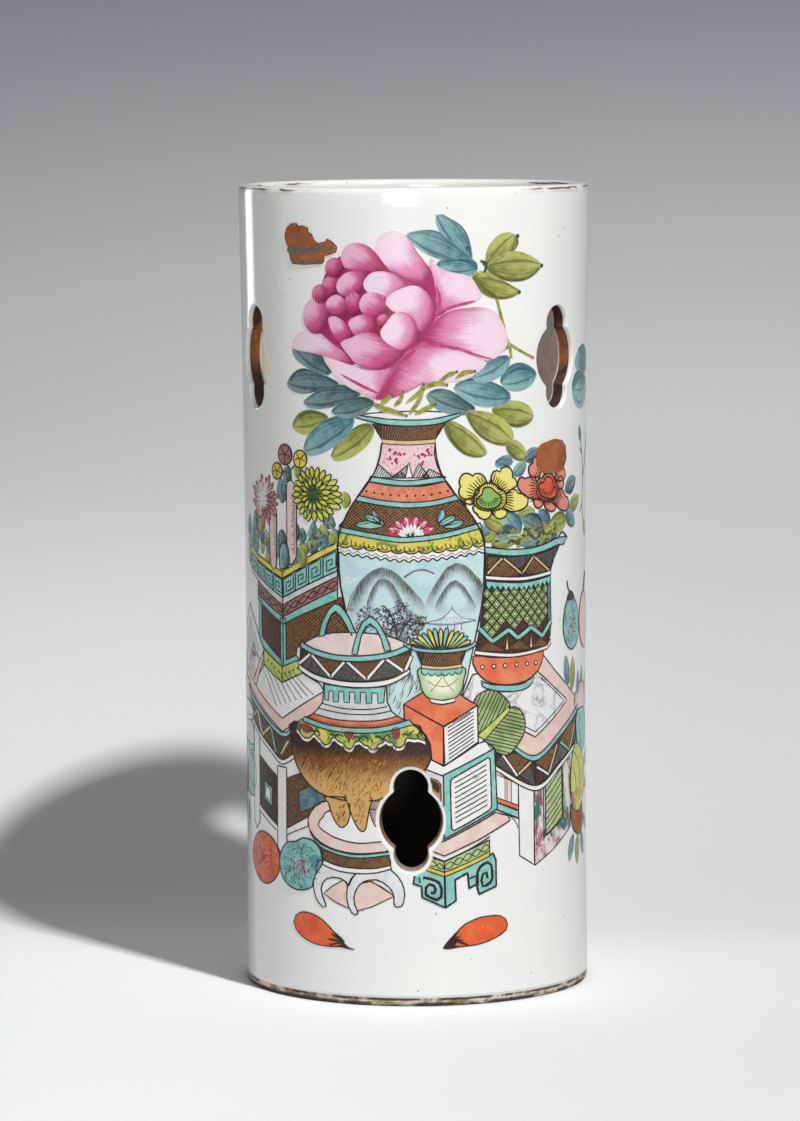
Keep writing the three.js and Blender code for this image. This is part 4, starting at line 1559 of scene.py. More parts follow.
def paint_peony():
    """The flower and its leaves, with stems, sprigs and the dark dots at the leaves' tips."""
    flower = Painting("peony_flower", 0.12)
    flower.fill("pink_ground", at("-32,228 -22,224.6 -12,221.4 -5,217 4,222 14,229.5 9,238 7,246 3,254 "
                                  "-4,256 -14,256 -28,248"), -0.5, ink=0.0)
    flower.fill("rose_ground", at("-35,246 -31,256 -24,262 -14,259.5 -5,255 4,251 6.4,244 5,236.4 1.4,231 "
                                  "-2,226.4 -10,222.6 -18,223 -25,228.6 -31,232.6 -38,239"), 2.4, ink=0.0)
    petals(flower, PEONY_PETALS)
    for run in ("4,232 -4,227 -9,219.6 -13.6,212.4", "3,231.4 13,230 22,227 28.4,225.2",
                "-12,214 -18,216.6 -26,220.6",
                "6.6,241 12,243.6 21,245.8", "7.4,251 8.8,246 6.8,240 4.4,236"):
        flower.line(at(run), 0.9, 2.6, taper=True, pen="magenta_soft")
    flower.wrap_up()
    leaves = Painting("peony_leaves", 0.0)
    petals(leaves, PEONY_LEAVES)
    leaves.line(at("29,247 31,240 33,233 34.6,229 35,225.5"), 1.0, 1, pen="stem")
    leaves.line(at("34.5,230.5 39,228 45.5,225"), 0.9, 1, pen="stem")
    leaves.line(at("34.5,230 31,228 26,225"), 0.9, 1, pen="stem")
    leaves.line(at("24.5,255.5 25.2,258.5 23,259.5"), 0.9, 3, pen="green_line")
    for tip in at("37.5,267.8 48.6,257.3 38.3,248.4 18.4,264 45.6,224.8 24.6,258.5"):
        leaves.dot(tip, 0.7, 4, "green_line")
    sprigs = ["-14,210 -9,208.5 -3,206.5", "-12,210 -10,212 -8,213.5", "-7,210 -5,212 -4,214.8",
              "-3,211 1,214 3,217.2",
              "-2,207 1,211 3,215.5", "3,216 7,217.5 11,217", "8,217.5 11,220 14.5,221.5",
              "14,219 17,221 21,221.5",
              "0,207 4,209 7,210.5", "-10,207.5 -12,209.5 -14.5,210.5"]
    for run in sprigs:
        leaves.line(at(run), 1.5, 4, taper=True, pen="stem")
        leaves.dot(at(run)[-1], 0.55, 4, "green_line")
    leaves.wrap_up()


paint_peony()

# %% [markdown]
# The tall vase is painted as a stack of bands, each with its own small pattern, so a band is a film
# between two soft edges, and its pattern is set out in shares along and up the band. The bands curve as
# the mouth's ellipse does, which is what makes the flat drawing look round.

# %% The tall vase
def paint_vase_neck(vase):
    vase.band("white", at("-20.5,206.6 -12,207.6 -3,208 6,207.9 15.5,207.2"),
              at("-20.5,206 -10,204.6 -3,204 15.5,206.6"), 0)
    vase.band("turquoise", at("-20.7,206.6 -15,206 -10,205.4 -3,205 5,205.2 10,206 15.7,207.3"),
              at("-20.7,205.7 -15,204.3 -10,203.4 -3,202.9 5,203.2 10,204.1 15.7,206.3"), 1)
    low, high = at("-11.5,198.4 -3,197.9 7,198.4"), at("-14.8,203.7 -3,202.7 10.6,203.9")
    vase.band("brown", high, low, 0)
    weave(vase, strip(low, high), 4, 6, 0)
    vase.band("cream", at("-11.4,198.4 -3,197.9 6.9,198.4"), at("-11.4,196.9 -3,196.4 6.9,196.9"), 1, 0.3)
    vase.fill("speckled_pink", at("-11.4,196.8 6.9,196.8 6.6,193 7.6,189 9.5,185 -15,185 -13,189 -12,193"), 0,
              False)
    for middle in ((-7.2, 192.3), (2.9, 192.6)):
        for _ in range(16):
            spot = (middle[0] + hand.gauss(0, 1.5), middle[1] + hand.gauss(0, 1.3))
            vase.dot(spot, hand.uniform(0.3, 0.6), 0, "magenta_line")


def paint_neck_peaks(vase):
    """Hatched peaks with a white spike between them, at the foot of the neck."""
    for left, peak, right, top in ((-15, -12.6, -9, 189.6), (-8, -1.9, -3.2, 190), (-8.8, -5.2, -3.6, 187.2),
                                   (-1, 1.2, 3.6, 190), (2, 5, 9.2, 188)):
        outline = [(left, 185), (peak, top), (right + 1.5, 185)]
        vase.fill("grey_white", outline, 1, False, 0.35)
        vase.hatch(outline, 62, 0.75, 0.26, 1)
    vase.fill("white", at("-3.4,185 -2.2,190.3 -0.9,185"), 2, False, 0.35)


def paint_vase_shoulder(vase):
    low = at("-20.4,178.3 -12,177 -3,176.4 6,176.8 14.6,178.4")
    high = at("-16.6,183.6 -10,182.5 -3,182 4,182.3 10.8,183.7")
    vase.band("coral_band", high, low, 0)
    place = strip(low, high)
    for i in range(11):
        vase.dot(place((i + 0.6) / 11.2, 0.42), 0.42, 0)
    for i in range(22):
        vase.dot(place((i + 0.5) / 22, hand.uniform(0.15, 0.85)), 0.2, 0, "magenta_line")
    vase.band("turquoise", at("-15.6,185.5 -3,184 9.6,185.5"), at("-16.4,183.6 -3,182.2 10.4,183.7"), 1)
    low, high = at("-27,166.8 -10,164.4 -3,164 10,165.4 22.6,168"), at("-20.7,177.3 -3,175.4 14.8,177.6")
    vase.fill("brown", at("-21,177.3 -3,175.3 15.2,177.6 17.8,174.4 20.4,170.8 22.2,168 23,166.4 10,164.6 "
                          "-3,163.4 -10,163.8 -27,166 -25.4,170 -23.6,173.6 -22,176"), 0)
    shoulder = at("-20.7,177.3 -3,175.3 14.9,177.6 19.8,171.6 22.4,168 -3,164 -27,166.6 -24,173")
    for angle in (38, 142):
        vase.hatch(shoulder, angle, 0.95, 0.2, 0, "ochre")
    vase.band("turquoise", at("-20.2,178.8 -12,177.2 -3,176.5 6,177 14.3,178.9"),
              at("-21.2,176.9 -12,175.4 -3,174.6 6,175.2 15.4,177.2"), 2)
    for i in range(13):
        angle = math.pi * (i + 0.5) / 13
        far = (-1.5 + 8.2 * math.cos(angle), 165.2 + 6.4 * math.sin(angle))
        near = (-1.5 + 3.2 * math.cos(angle), 165 + 2.6 * math.sin(angle))
        across = (-math.sin(angle), math.cos(angle))
        middle = between(near, far, 0.6)
        vase.fill("speckled_pink" if i % 2 else "crimson",
                  [near, (middle[0] + across[0], middle[1] + across[1]), far,
                   (middle[0] - across[0], middle[1] - across[1])],
                  1, ink=0.26, pen="magenta_line")
    for i in range(9):
        angle = math.pi * (i + 0.5) / 9
        far = (-1.5 + 4.6 * math.cos(angle), 165 + 4 * math.sin(angle))
        vase.line([(-1.5 + 1.5 * math.cos(angle), 164.6), far], 1.1, 2, False, True, "white_line")
    tuft(vase, (-1.5, 164.4), 2.4, 7, 10, 170, 0.35, 3)
    for outline in ("-21.5,168.2 -18,169.8 -14.5,169.6 -11.5,168.2 -16,167.2",
                    "-15,174.2 -13.4,172.4 -12.2,169.2 -14.6,170.8",
                    "-18,171.8 -14.2,171.6 -10.4,168.6 -15,169.4", "9.4,174.4 8,172 7.6,169.4 10.2,171.4",
                    "13.8,171.6 10.6,171 8,168.4 12.4,169", "17,169.6 13.4,169.8 9.4,167.9 14,167.4"):
        vase.fill("turquoise", at(outline), 1, ink=0.3)
        vase.line([at(outline)[0], at(outline)[2]], 0.22, 1)


def curls(painting, place, count, level, low=0.0, width=0.3):
    """The little hooks inside each bump of a scalloped edge."""
    for i in range(count):
        for u, tall in (((i + 0.28) / count, 0.34), ((i + 0.62) / count, 0.26)):
            reach = 0.24 / count
            painting.line([place(u - reach, low + tall), place(u - reach * 0.9, low - 0.02),
                           place(u, low - 0.12),
                           place(u + reach * 0.8, low + 0.02), place(u + reach * 0.3, low + tall * 0.5)],
                          width, level)


def paint_vase_collar(vase):
    """The mottled collar with its scalloped edge, over a white wavy band."""
    low = at("-27.9,161.6 -10,159.9 -3,159.4 10,160.1 24.8,162")
    high = at("-27.4,166.2 -10,163.6 -3,163.1 10,164.6 23.2,167.6")
    place = strip(low, high)
    outline = soften(high, False, 2.0) + scallops(place, 11, 0.0, -0.22, 7)
    white_low = strip(at("-27.8,158 -10,156.2 -3,155.7 10,156.4 24.7,158.4"), low)
    wave = [white_low(i / 160, 0.12 + 0.12 * math.sin(i * math.pi / 5)) for i in range(161)]
    vase.fill("white", soften(low, False, 2.0) + wave[::-1], 1, False, 0.42)
    vase.line([white_low(i / 160, 0.42 + 0.12 * math.sin(i * math.pi / 5)) for i in range(161)], 0.2, 1,
              False)
    vase.fill("mottle_yellow", outline, 2, False, 0.42)
    curls(vase, place, 11, 2, 0.1)
    vase.band("turquoise", at("-27.2,167.6 -10,164.9 -3,164.4 10,165.8 22.9,168.9"),
              at("-27.6,165.8 -10,163.1 -3,162.6 10,164 23.6,167.1"), 3)


def foliage(painting, clumps, level):
    """Dabs scattered in round clumps, as a loaded brush tip leaves them."""
    for (s, z), radius, count in clumps:
        for _ in range(count):
            angle, out = hand.uniform(0, 2 * math.pi), radius * hand.uniform(0, 1) ** 0.6
            spot = (s + out * math.cos(angle), z + 0.8 * out * math.sin(angle))
            tip = (spot[0] + hand.uniform(-0.9, 0.9), spot[1] + hand.uniform(-0.3, 0.9))
            pen = "ink" if hand.random() < 0.2 else "tree_line"
            painting.line([spot, between(spot, tip, 0.5), tip], hand.uniform(0.3, 0.6), level, False, True,
                          pen)


def paint_vase_landscape(vase):
    """Two ridges with nearer hills, dark trees and a hut's roof, on the pale blue body."""
    vase.fill("pale_blue", at("-27.6,160 -27.5,153 -27,147 -25.4,140 -23.2,131 -20.4,121 -17.4,112 -14.6,104 "
                              "-10,100 8,100 13.6,103 16,109 18,115 20.2,125 22.6,135 24.2,147 24.6,160"), 0,
              False, 0.45)
    hills = [
        ("mountain", 1, (-11, 134), (-12, 154), at("-25,136 -23.6,141 -20,148 -16,152 -12,153.7 -8,152.8 "
                                                   "-4,149.4 0,145 3,141 4,135 -10,132.5 -22,132.5")),
        ("mountain", 2, (-11.5, 133), (-12, 151), at("-17.5,139 -15.6,146 -12.4,150 -9,149.2 -6,145 -4,139 "
                                                     "-7,133.5 -14,133.5")),
        ("mountain", 1, (14, 137), (14, 155), at("3,140 5,145 8,150 11,154 14,155.3 18,154 21,151 24,147.4 "
                                                 "24,140 21.5,136 6,136")),
        ("mountain", 2, (14, 136), (14, 149), at("6.5,139.5 9,145 12,148.7 14,149.3 17,147 20,142.5 "
                                                 "21.6,138.6 18,136.6 10,136.6")),
        ("low_hill", 1, (-4, 105), (-6, 127), at("-10.5,104 -10,116 -8,124 -5,127 -2.6,124 -2,118 0,113 "
                                                 "2.6,109.5 4,105 -3,102.6")),
    ]
    petals(vase, hills)
    vase.line(at("-4,150.4 -0.6,152.6 3.2,153 6.4,151.6"), 0.5, 1, pen="grey_line")
    vase.line(at("-24.8,138 -23,143.4 -19.6,148.6 -15,152.6 -11.4,153.8"), 0.22, 2, pen="grey_line")
    for mass in ("-9.6,130.4 -11.8,133 -10.6,136.4 -8.6,139.6 -5,141.4 -1.6,139 1.4,136.6 3.4,134 1.6,131.6 "
                 "-2,129.4 -6,128.6",
                 "-20.6,132.6 -18.6,136.4 -15.4,138.8 -12.6,138 -13,134 -16.4,131.6"):
        vase.fill("tree_wash", at(mass), 2, ink=0.0)
    foliage(vase, (((-6, 136), 4.2, 120), ((-1.2, 132.6), 3.4, 90), ((-9.4, 132), 3.6, 80),
                   ((1.6, 134.8), 2.2, 30), ((-12, 137.6), 3.2, 50),
                   ((-3.4, 128.8), 3.0, 40), ((-5, 140.4), 2.6, 34), ((-17, 136), 4.4, 60),
                   ((-20, 132), 3.4, 36)), 3)
    vase.line(at("-7,127 -6.6,131 -8.4,136.6 -11,140.4"), 0.5, 3)
    vase.line(at("-6.4,128 -4,133.6 -1,136.4"), 0.45, 3)
    for _ in range(34):
        spot = (hand.uniform(-24, -13), hand.uniform(129.5, 139))
        vase.line([spot, (spot[0] + 0.5, spot[1] + 0.6), (spot[0] + 1, spot[1])], 0.17, 3, pen="grey_line")
    for _ in range(40):
        spot = (hand.uniform(-11, 1), hand.uniform(100, 117))
        vase.line([spot, (spot[0] + 0.7, spot[1] + 1.1), (spot[0] + 1.2, spot[1] + 3)], 0.26, 2, True, True,
                  "grey_line")
    vase.fill("hut", at("4.4,134.4 9.6,136.4 12.4,139 15,136.8 20.6,135 12,134.4"), 3, False, 0.0)
    vase.line(at("3,134.5 9,136 12.4,139.2 12.6,140.4 12.8,139.2 16,136.2 21.4,135"), 0.22, 3,
              pen="grey_line")
    vase.line(at("3,134.4 12,133.8 21.4,135"), 0.22, 3, pen="grey_line")
    for k in range(7):
        vase.line([(6.4 + k * 1.8, 134.5), (10.6 + k * 0.6, 136.6)], 0.13, 3, False, True, "grey_line")
    for s in (8.4, 11, 13.6, 16):
        vase.line([(s, 134), (s + hand.uniform(-0.3, 0.3), 131.6)], 0.22, 3, pen="magenta_soft")


def paint_vase_outline(vase):
    """One smooth line down each side, over the ends of the bands."""
    for side in ("-11.5,197 -12.4,192 -14.4,186.4 -18.2,180.8 -22.4,175.4 -25.6,169.6 -27.6,163.6 -28,157 "
                 "-27.4,149 -25.6,140.4 -22.8,129.6",
                 "6.9,197 7.4,192 9,186.6 12.4,181 16.8,175.6 20.8,170 23.6,164.6 24.9,157 24.6,149 23.4,140 "
                 "21,128.6"):
        vase.line(at(side), 0.46, 4)


def paint_tall_vase():
    vase = Painting("tall_vase")
    paint_vase_landscape(vase)
    paint_vase_collar(vase)
    paint_vase_shoulder(vase)
    paint_vase_neck(vase)
    paint_neck_peaks(vase)
    paint_vase_outline(vase)
    vase.wrap_up()


paint_tall_vase()

# %% [markdown]
# The tripod censer stands before the vase. Its belly is a brown wash that turns gold downwards, with
# short slanting strokes over it, and its legs run on to the round stand.

# %% The tripod censer
def paint_censer_mouth(censer):
    censer.fill("bowl_pink", at("-43,125.6 -41,126.9 -36,129.1 -30,130.4 -22,130.9 -14,130.6 -8,129.4 "
                                "-3,126.8 -8,124.6 -14,123.2 -22,122.6 -30,122.8 -37,124.2"), 0, ink=0.42)
    back = at("-35.7,128.8 -34.8,133 -32,138 -29,140.7 -26,139 -23.3,135 -21.6,130.8 -23.6,130.8 -24.8,133 "
              "-27,136.5 -29,138 -30.5,137 -32.5,133 -33.5,129.3")
    front = at("-22.8,123.3 -21,130 -18.5,135 -16,136.7 -13.5,135 -10.5,130 -8.8,125 -10.9,124.7 -12,128.5 "
               "-14,132.5 -16,134.2 -17.8,132.8 -19.5,129 -20.9,123.3")
    censer.fill("turquoise", back, 1, ink=0.42)
    censer.fill("turquoise", front, 2, ink=0.42)
    censer.band("turquoise", at("-43.6,126.6 -38,124.4 -30,122.9 -22,122.7 -14,123.4 -7,125.1 -1.8,127.6"),
                at("-44,124.6 -38,122.4 -30,120.9 -22,120.7 -14,121.4 -7,123.1 -1.6,125.6"), 3, 0.42)


def paint_censer_band(censer):
    """The dark band with white zigzag bars, hatched in brown above and grey below."""
    top = at("-44,124.6 -38,122.4 -30,120.9 -22,120.7 -14,121.4 -7,123.1 -1.6,125.6")
    low = at("-44.6,118.4 -38,115.2 -30,113.9 -22,113.4 -14,113.9 -8,115.2 -2.4,118.2")
    censer.band("brown", top, low, 0, 0.42)
    zigzag = at("-45,118.5 -39.4,122.6 -31,114.9 -25.2,121 -17.4,114.6 -10.8,122.2 -4,117.4 -1.6,123")
    for a, b, c in zip(zigzag, zigzag[1:], zigzag[2:] + zigzag[-1:]):
        if a[1] < b[1]:
            censer.fill("grey_line", [(s, z - 0.5) for s, z in (a, b, c)], 1, False, 0)
            censer.hatch([(s, z - 0.6) for s, z in (a, b, c)], 62, 0.62, 0.24, 1)
        else:
            censer.hatch([(s, z + 0.4) for s, z in (a, b, c)], 58, 0.6, 0.22, 1, "ochre")
    bars(censer, [("white", a, b) for a, b in zip(zigzag, zigzag[1:])], 2, 0.62, 0.32)
    censer.band("white", at("-45,118.6 -38,115.6 -30,114.1 -22,113.6 -14,114.1 -8,115.4 -2,118.6"),
                at("-44.6,116.6 -38,113.7 -30,112.2 -22,111.7 -14,112.1 -8,113.6 -2.4,116.8"), 3, 0.42)


def paint_censer_neck(censer):
    censer.fill("grey_white", at("-34,112.4 -34.4,106 -36.5,103.4 -40,100.2 -42.4,99.4 -30,97 -14,97 -3,99.8 "
                                 "-5.6,101 -8.6,103.6 -10.2,107 -10.4,112.2 -22,111.4"), 0, False, 0.42)
    comb = at("-33.6,112.3 -22,111.4 -10.8,112.2 -11.4,106.7 -13.4,106.4")
    for left in (-15.6, -19.7, -23.8, -28.0):
        comb += [(left + 2.1 - 0.1, 110), (left, 110), (left - 0.1, 106.3), (left - 2.1, 106.3)]
    comb += [(-30.2, 110), (-31.8, 110), (-32, 106.6), (-33.6, 106.9)]
    censer.fill("turquoise", comb, 1, False, 0.36)
    for run in ("-34.6,105.4 -28,104.3 -22,104 -16,104.2 -10.2,105.3",
                "-36.2,103.6 -28,102.5 -22,102.2 -15,102.5 -9,103.8"):
        censer.line(at(run), 0.36, 0)
    low = at("-42.2,99.2 -32,97.6 -22,97.2 -12,97.8 -3,100.2")
    high = at("-38.6,101.6 -30,100.2 -22,99.9 -13,100.4 -6.6,102")
    censer.band("coral", high, low, 1, 0.36)
    place = strip(low, high)
    for i in range(46):
        u = (i + 0.5) / 46
        censer.line([place(u, 0.02), place(u, hand.uniform(0.5, 0.62))], 0.26, 1, False, True)
    censer.band("turquoise", at("-42.4,100.2 -32,98 -22,97.5 -12,98.2 -2.4,100.8"),
                at("-43.4,98.6 -32,96.2 -22,95.7 -12,96.4 -1.2,99"), 3, 0.42)


def paint_censer_collar(censer):
    """The mottled collar over the belly: a lobed edge, bordered with white, and a hook in each lobe."""
    top = at("-1.4,99.4 -12,96.9 -22,96.2 -32,96.7 -44,99.1")
    edge = at("-46.2,97.4 -46,95.6 -45,95 -43.6,93.4 -42.5,92.8 -41.2,92.6 -39.8,93 -39,94 -38,94.4 -37,93.6 "
              "-36,92.7 -35.4,92.6 -35,91.8 -34.2,91.2 -33.2,91 -32,91.3 -31.2,92.2 -30.8,93.2 -29.6,93.8 "
              "-28.5,92.8 -27.2,92 -26.2,92 -25.8,91 -25,90.3 -24,90 -23,90.3 -22.4,91.2 -22,92.4 -21,92.8 "
              "-20.2,93 -19.2,92.3 -18.2,91.5 -17.2,91.5 -16.6,90.6 -15.6,90 -14.6,90.3 -13.8,91 -13.5,92 "
              "-12.4,92.3 -11.4,93 -10.8,93.6 -10,92.9 -9,92.6 -8.4,92.8 -8,91.8 -7,91.1 -6,91 -5,91.4 "
              "-4.2,92.2 -3.9,93.6 -3.2,94.4 -2,94.2 -0.8,94 0.4,94.2 1.6,93.9 3,93.2")
    border = [(s * 1.005 + 0.1, z - 1.15) for s, z in edge]
    censer.fill("white", border + [(2.6, 95), *top[:1], (-22, 94), *top[-1:]], 1, False, 0.0)
    censer.fill("mottle_green", edge + [(0.6, 97.6)] + top, 2, False, 0.42)
    for enamel, blob in (("madder", "-44.6,97.4 -42,97.8 -39.4,97 -38.4,95.8 -40.6,94.6 -43,95"),
                         ("madder", "-26,96 -22.4,96 -22.8,94.2 -24.2,93.2 -25.6,94.4"),
                         ("madder", "-8.6,97.6 -6,98 -5.8,95 -7,93.6 -8.4,94.4"),
                         ("green", "-31.6,95.8 -28.4,95.8 -28,94.2 -30.4,94"),
                         ("green", "-15,96 -11,96.4 -11.6,94.4 -14,94.2"),
                         ("yellow", "-36,96.4 -33,96.2 -32.6,93 -34,92 -35.4,93.4"),
                         ("yellow", "-3,98.6 0,97.8 0.6,96 -2.2,96.4")):
        censer.fill(enamel, at(blob), 3, ink=0.0)
    for run in ("-46,97.4 -44.8,96.6 -44.4,95.4", "-39.8,96 -38.6,95.2 -37.8,95.7",
                "-38.4,94.6 -37,95.7 -35.8,95.2 -35.6,94.2 -36.4,93.9",
                "-31.8,94.5 -30.8,94.9 -29.8,94.4 -28.6,95", "-29.4,94 -28,94.9 -26.8,94.8 -26.3,94.1",
                "-22.7,93.4 -22,94.4 -20.9,94.6 -20.1,93.6 -20.5,92.9",
                "-20.1,93.4 -19.4,94.6 -18,94.8 -17,94 -17.2,92.8",
                "-14.6,94.5 -13.6,94.9 -12.4,94.5 -11.4,93.6", "-11.6,93.6 -10.8,95 -9.8,95.2 -8.9,94.5",
                "-5,95.5 -4,96 -3,95.5 -2.2,95.4 -2,96.4 -0.8,97", "-24,92.2 -24.4,93.4",
                "-15.4,92.6 -16,93.8", "1,96.4 0.2,95.4 1,94.9"):
        censer.line(at(run), 0.34, 4)


def paint_censer_belly(censer):
    leg_left = at("-33.6,72.6 -32.4,70.6 -31,66.8 -29,63.4 -27,62.2 -25,63.6 -24,66.6 -24,69 -25,72.6")
    leg_middle = at("-26,73.4 -25,71.6 -23.4,67 -21.4,63 -19.6,61.2 -18.2,62 -17.4,65.6 -16.8,69 -16.4,73.4")
    rear = at("-16.6,72 -13.4,72.6 -12.6,66 -13.6,62.4 -15.4,64.6 -16.8,69")
    censer.fill("sepia", rear, -1, True, 0.34)
    censer.hatch(rear, 62, 0.7, 0.2, -1, "brown_line")
    for leg in (leg_left, leg_middle):
        censer.fill("fur", leg, 0, True, 0.42)
    belly = at("-47.6,98 -49.4,94 -48.6,88 -46.2,82.5 -42.4,78 -38.4,75 -33.4,73 -28,72.1 -24,71.8 -16,72.2 "
               "-12.4,73 -6,78 -1,81 2.7,83 4.6,86 5,90 3.8,93.8 1.8,97 -1.6,99.4 -22,97")
    censer.fill("fur", belly, 0, True, 0.46)
    censer.fill("fur", at("-25.4,74.6 -24.8,71.4 -20,69.4 -17,70.4 -16.6,74.4"), 1, False, 0.0)
    for _ in range(1150):
        s, z = hand.uniform(-47, 4.4), hand.uniform(73, 91)
        inside = (s + 22) ** 2 / 26.6 ** 2 + (z - 91) ** 2 / 18.6 ** 2
        if inside < 0.94 and not (s > -12.5 and z < 86 - abs(s + 2) * 0.3):
            reach = hand.uniform(0.9, 1.8)
            pen = hand.choice(("hair_dark", "hair_dark", "hair_gold")) if z < 86 else "hair_dark"
            censer.line([(s, z), (s + reach * 0.5, z + reach * 0.86)], 0.14, 1, False, True, pen)
    for _ in range(70):
        s, z = hand.choice([(-27.6, 67), (-20.6, 67)])
        s, z = s + hand.uniform(-1.9, 1.7), z + hand.uniform(-3.4, 5)
        censer.line([(s, z), (s + 0.6, z + 1.1)], 0.17, 1, False, True, "hair_dark")


def paint_censer():
    censer = Painting("tripod_censer", 0.2)
    paint_censer_belly(censer)
    paint_censer_neck(censer)
    paint_censer_collar(censer)
    paint_censer_band(censer)
    paint_censer_mouth(censer)
    censer.wrap_up()


paint_censer()

# %% [markdown]
# A cup of joss paper, a cloth-covered book and a framed box stand on a low plinth before the vase. Their
# flat faces are straight-sided films, and the ruled lines on them are strokes between two edges.

# %% Cup, book, box and plinth
def rule(painting, low, high, count, level, width=0.34, margin=0.1, pen="ink"):
    """Ruled lines across a face: count of them between the edge low and the edge high."""
    for i in range(count):
        share = (i + 1) / (count + 1)
        a, b = between(low[0], high[0], share), between(low[1], high[1], share)
        painting.line([between(a, b, margin), between(a, b, 1 - margin)], width, level, False, pen=pen)


def paint_cup(books):
    for i in range(15):
        angle = math.radians(168 - 156 * i / 14)
        start = (8.6 + 4.2 * math.cos(angle), 124.6 + 0.8 * math.sin(angle))
        end = (8.6 + 11.6 * math.cos(angle), 125 + 7.6 * math.sin(angle) + hand.uniform(-0.4, 0.4))
        side = Vector((end[1] - start[1], start[0] - end[0])).normalized() * 0.75
        middle = between(start, end, 0.75)
        books.fill("yellow" if i % 2 else "turquoise",
                   [start, (middle[0] + side.x, middle[1] + side.y), end,
                    (middle[0] - side.x, middle[1] - side.y)],
                   1, ink=0.36)
    bowl = at("1.6,119 1.3,114 2.2,110.6 4.6,108 9,107 13.4,108 15.8,110.6 16.6,114 16.2,119")
    books.fill("cup_glass", bowl, 1, ink=0.42, centre=(8.6, 113.4))
    for run in ("9,118 8.6,115 5,110.6", "9.2,118 9.6,115 13,110.4",
                "4,114.4 6.4,112.6 9,112.2 12,112.8 14.6,115"):
        books.line(at(run), 0.22, 1, pen="ochre")
    low, high = at("2,119.8 9,119.2 15.7,119.8"), at("0,124.8 9,123.8 17.6,124.8")
    books.band("brown", high, low, 2, 0.4)
    weave(books, strip(low, high), 3, 6, 2)
    books.band("cream", at("1.9,119.9 9,119.3 15.9,119.9"), at("1.8,118.7 9,118.1 16,118.7"), 3, 0.3)
    place = strip(at("1.7,116.9 9,116.3 16.1,116.9"), at("1.8,118.7 9,118.1 16,118.7"))
    books.fill("turquoise", [place(u / 8, 1.0) for u in range(9)] + scallops(place, 6, 0.3, -0.5, 4), 3,
               False, 0.32)
    books.band("turquoise", at("-4,128 0,126 9,125.2 18,126 21,127.8"),
               at("-4.4,126.8 0,124.7 9,123.9 18,124.7 21.4,126.6"), 3, 0.4)
    books.band("white", at("4.6,108.2 9,107.4 13.8,108.2"), at("5,106.8 9,106 13.4,106.8"), 2, 0.4)


def paint_book(books):
    books.fill("coral", at("-4.4,106.2 2,110.2 5,112 13,111.6 17,108 21.6,105.3 9.5,98.1"), 0, False, 0.45)
    books.fill("coral", at("-4.4,106.2 9.4,98.3 9.3,84.6 5.2,86.6 4.8,92 3,95.6 0,98.6 -4.2,101"), 0, False,
               0.45)
    books.fill("white", at("9.4,98.3 21.7,105.2 21.9,92.4 9.8,84.6"), 0, False, 0.45)
    rule(books, at("9.8,84.6 21.9,92.4"), at("9.4,98.3 21.7,105.2"), 9, 0, 0.34, 0.12)
    books.line(at("12.6,99.4 19,103"), 0.3, 0, False)


def paint_framed_box(books):
    books.fill("white", at("3,83.4 5,86.8 9.4,84.3 21.9,91.8 24.6,92.4 28.4,89.6 9.4,80.8"), 0, False, 0.42)
    books.fill("grey_white", at("3,83.4 9.4,80.8 9.4,58.6 5,61.6"), 0, False, 0.42)
    books.fill("tan", at("4,80.6 7.4,79.2 8.4,77.8 8.4,71.6 6.4,70.4 4.6,73"), 1, False, 0.36)
    books.fill("brown", at("4.4,79.8 7.2,78.6 8,77.2 7.6,75 5.4,76.8"), 2, ink=0.0)
    books.fill("turquoise", at("9.3,81.2 28.1,89.8 29.1,68.4 9.5,58.8"), 1, False, 0.46)
    books.fill("white", soften(at("11.8,79 12.6,80 25.6,86.6 26.3,86 26.8,69.4 26,68.2 12.8,61.6 12.1,62.4"),
                               True, 1.0), 2, False, 0.46)
    rule(books, at("12.2,62 26.6,69"), at("11.9,79.4 26.1,86.6"), 9, 2, 0.36, 0.09)
    for _ in range(7):
        books.dot((hand.uniform(19, 22.4), hand.uniform(79.2, 81.4)), 0.24, 2, "ochre")


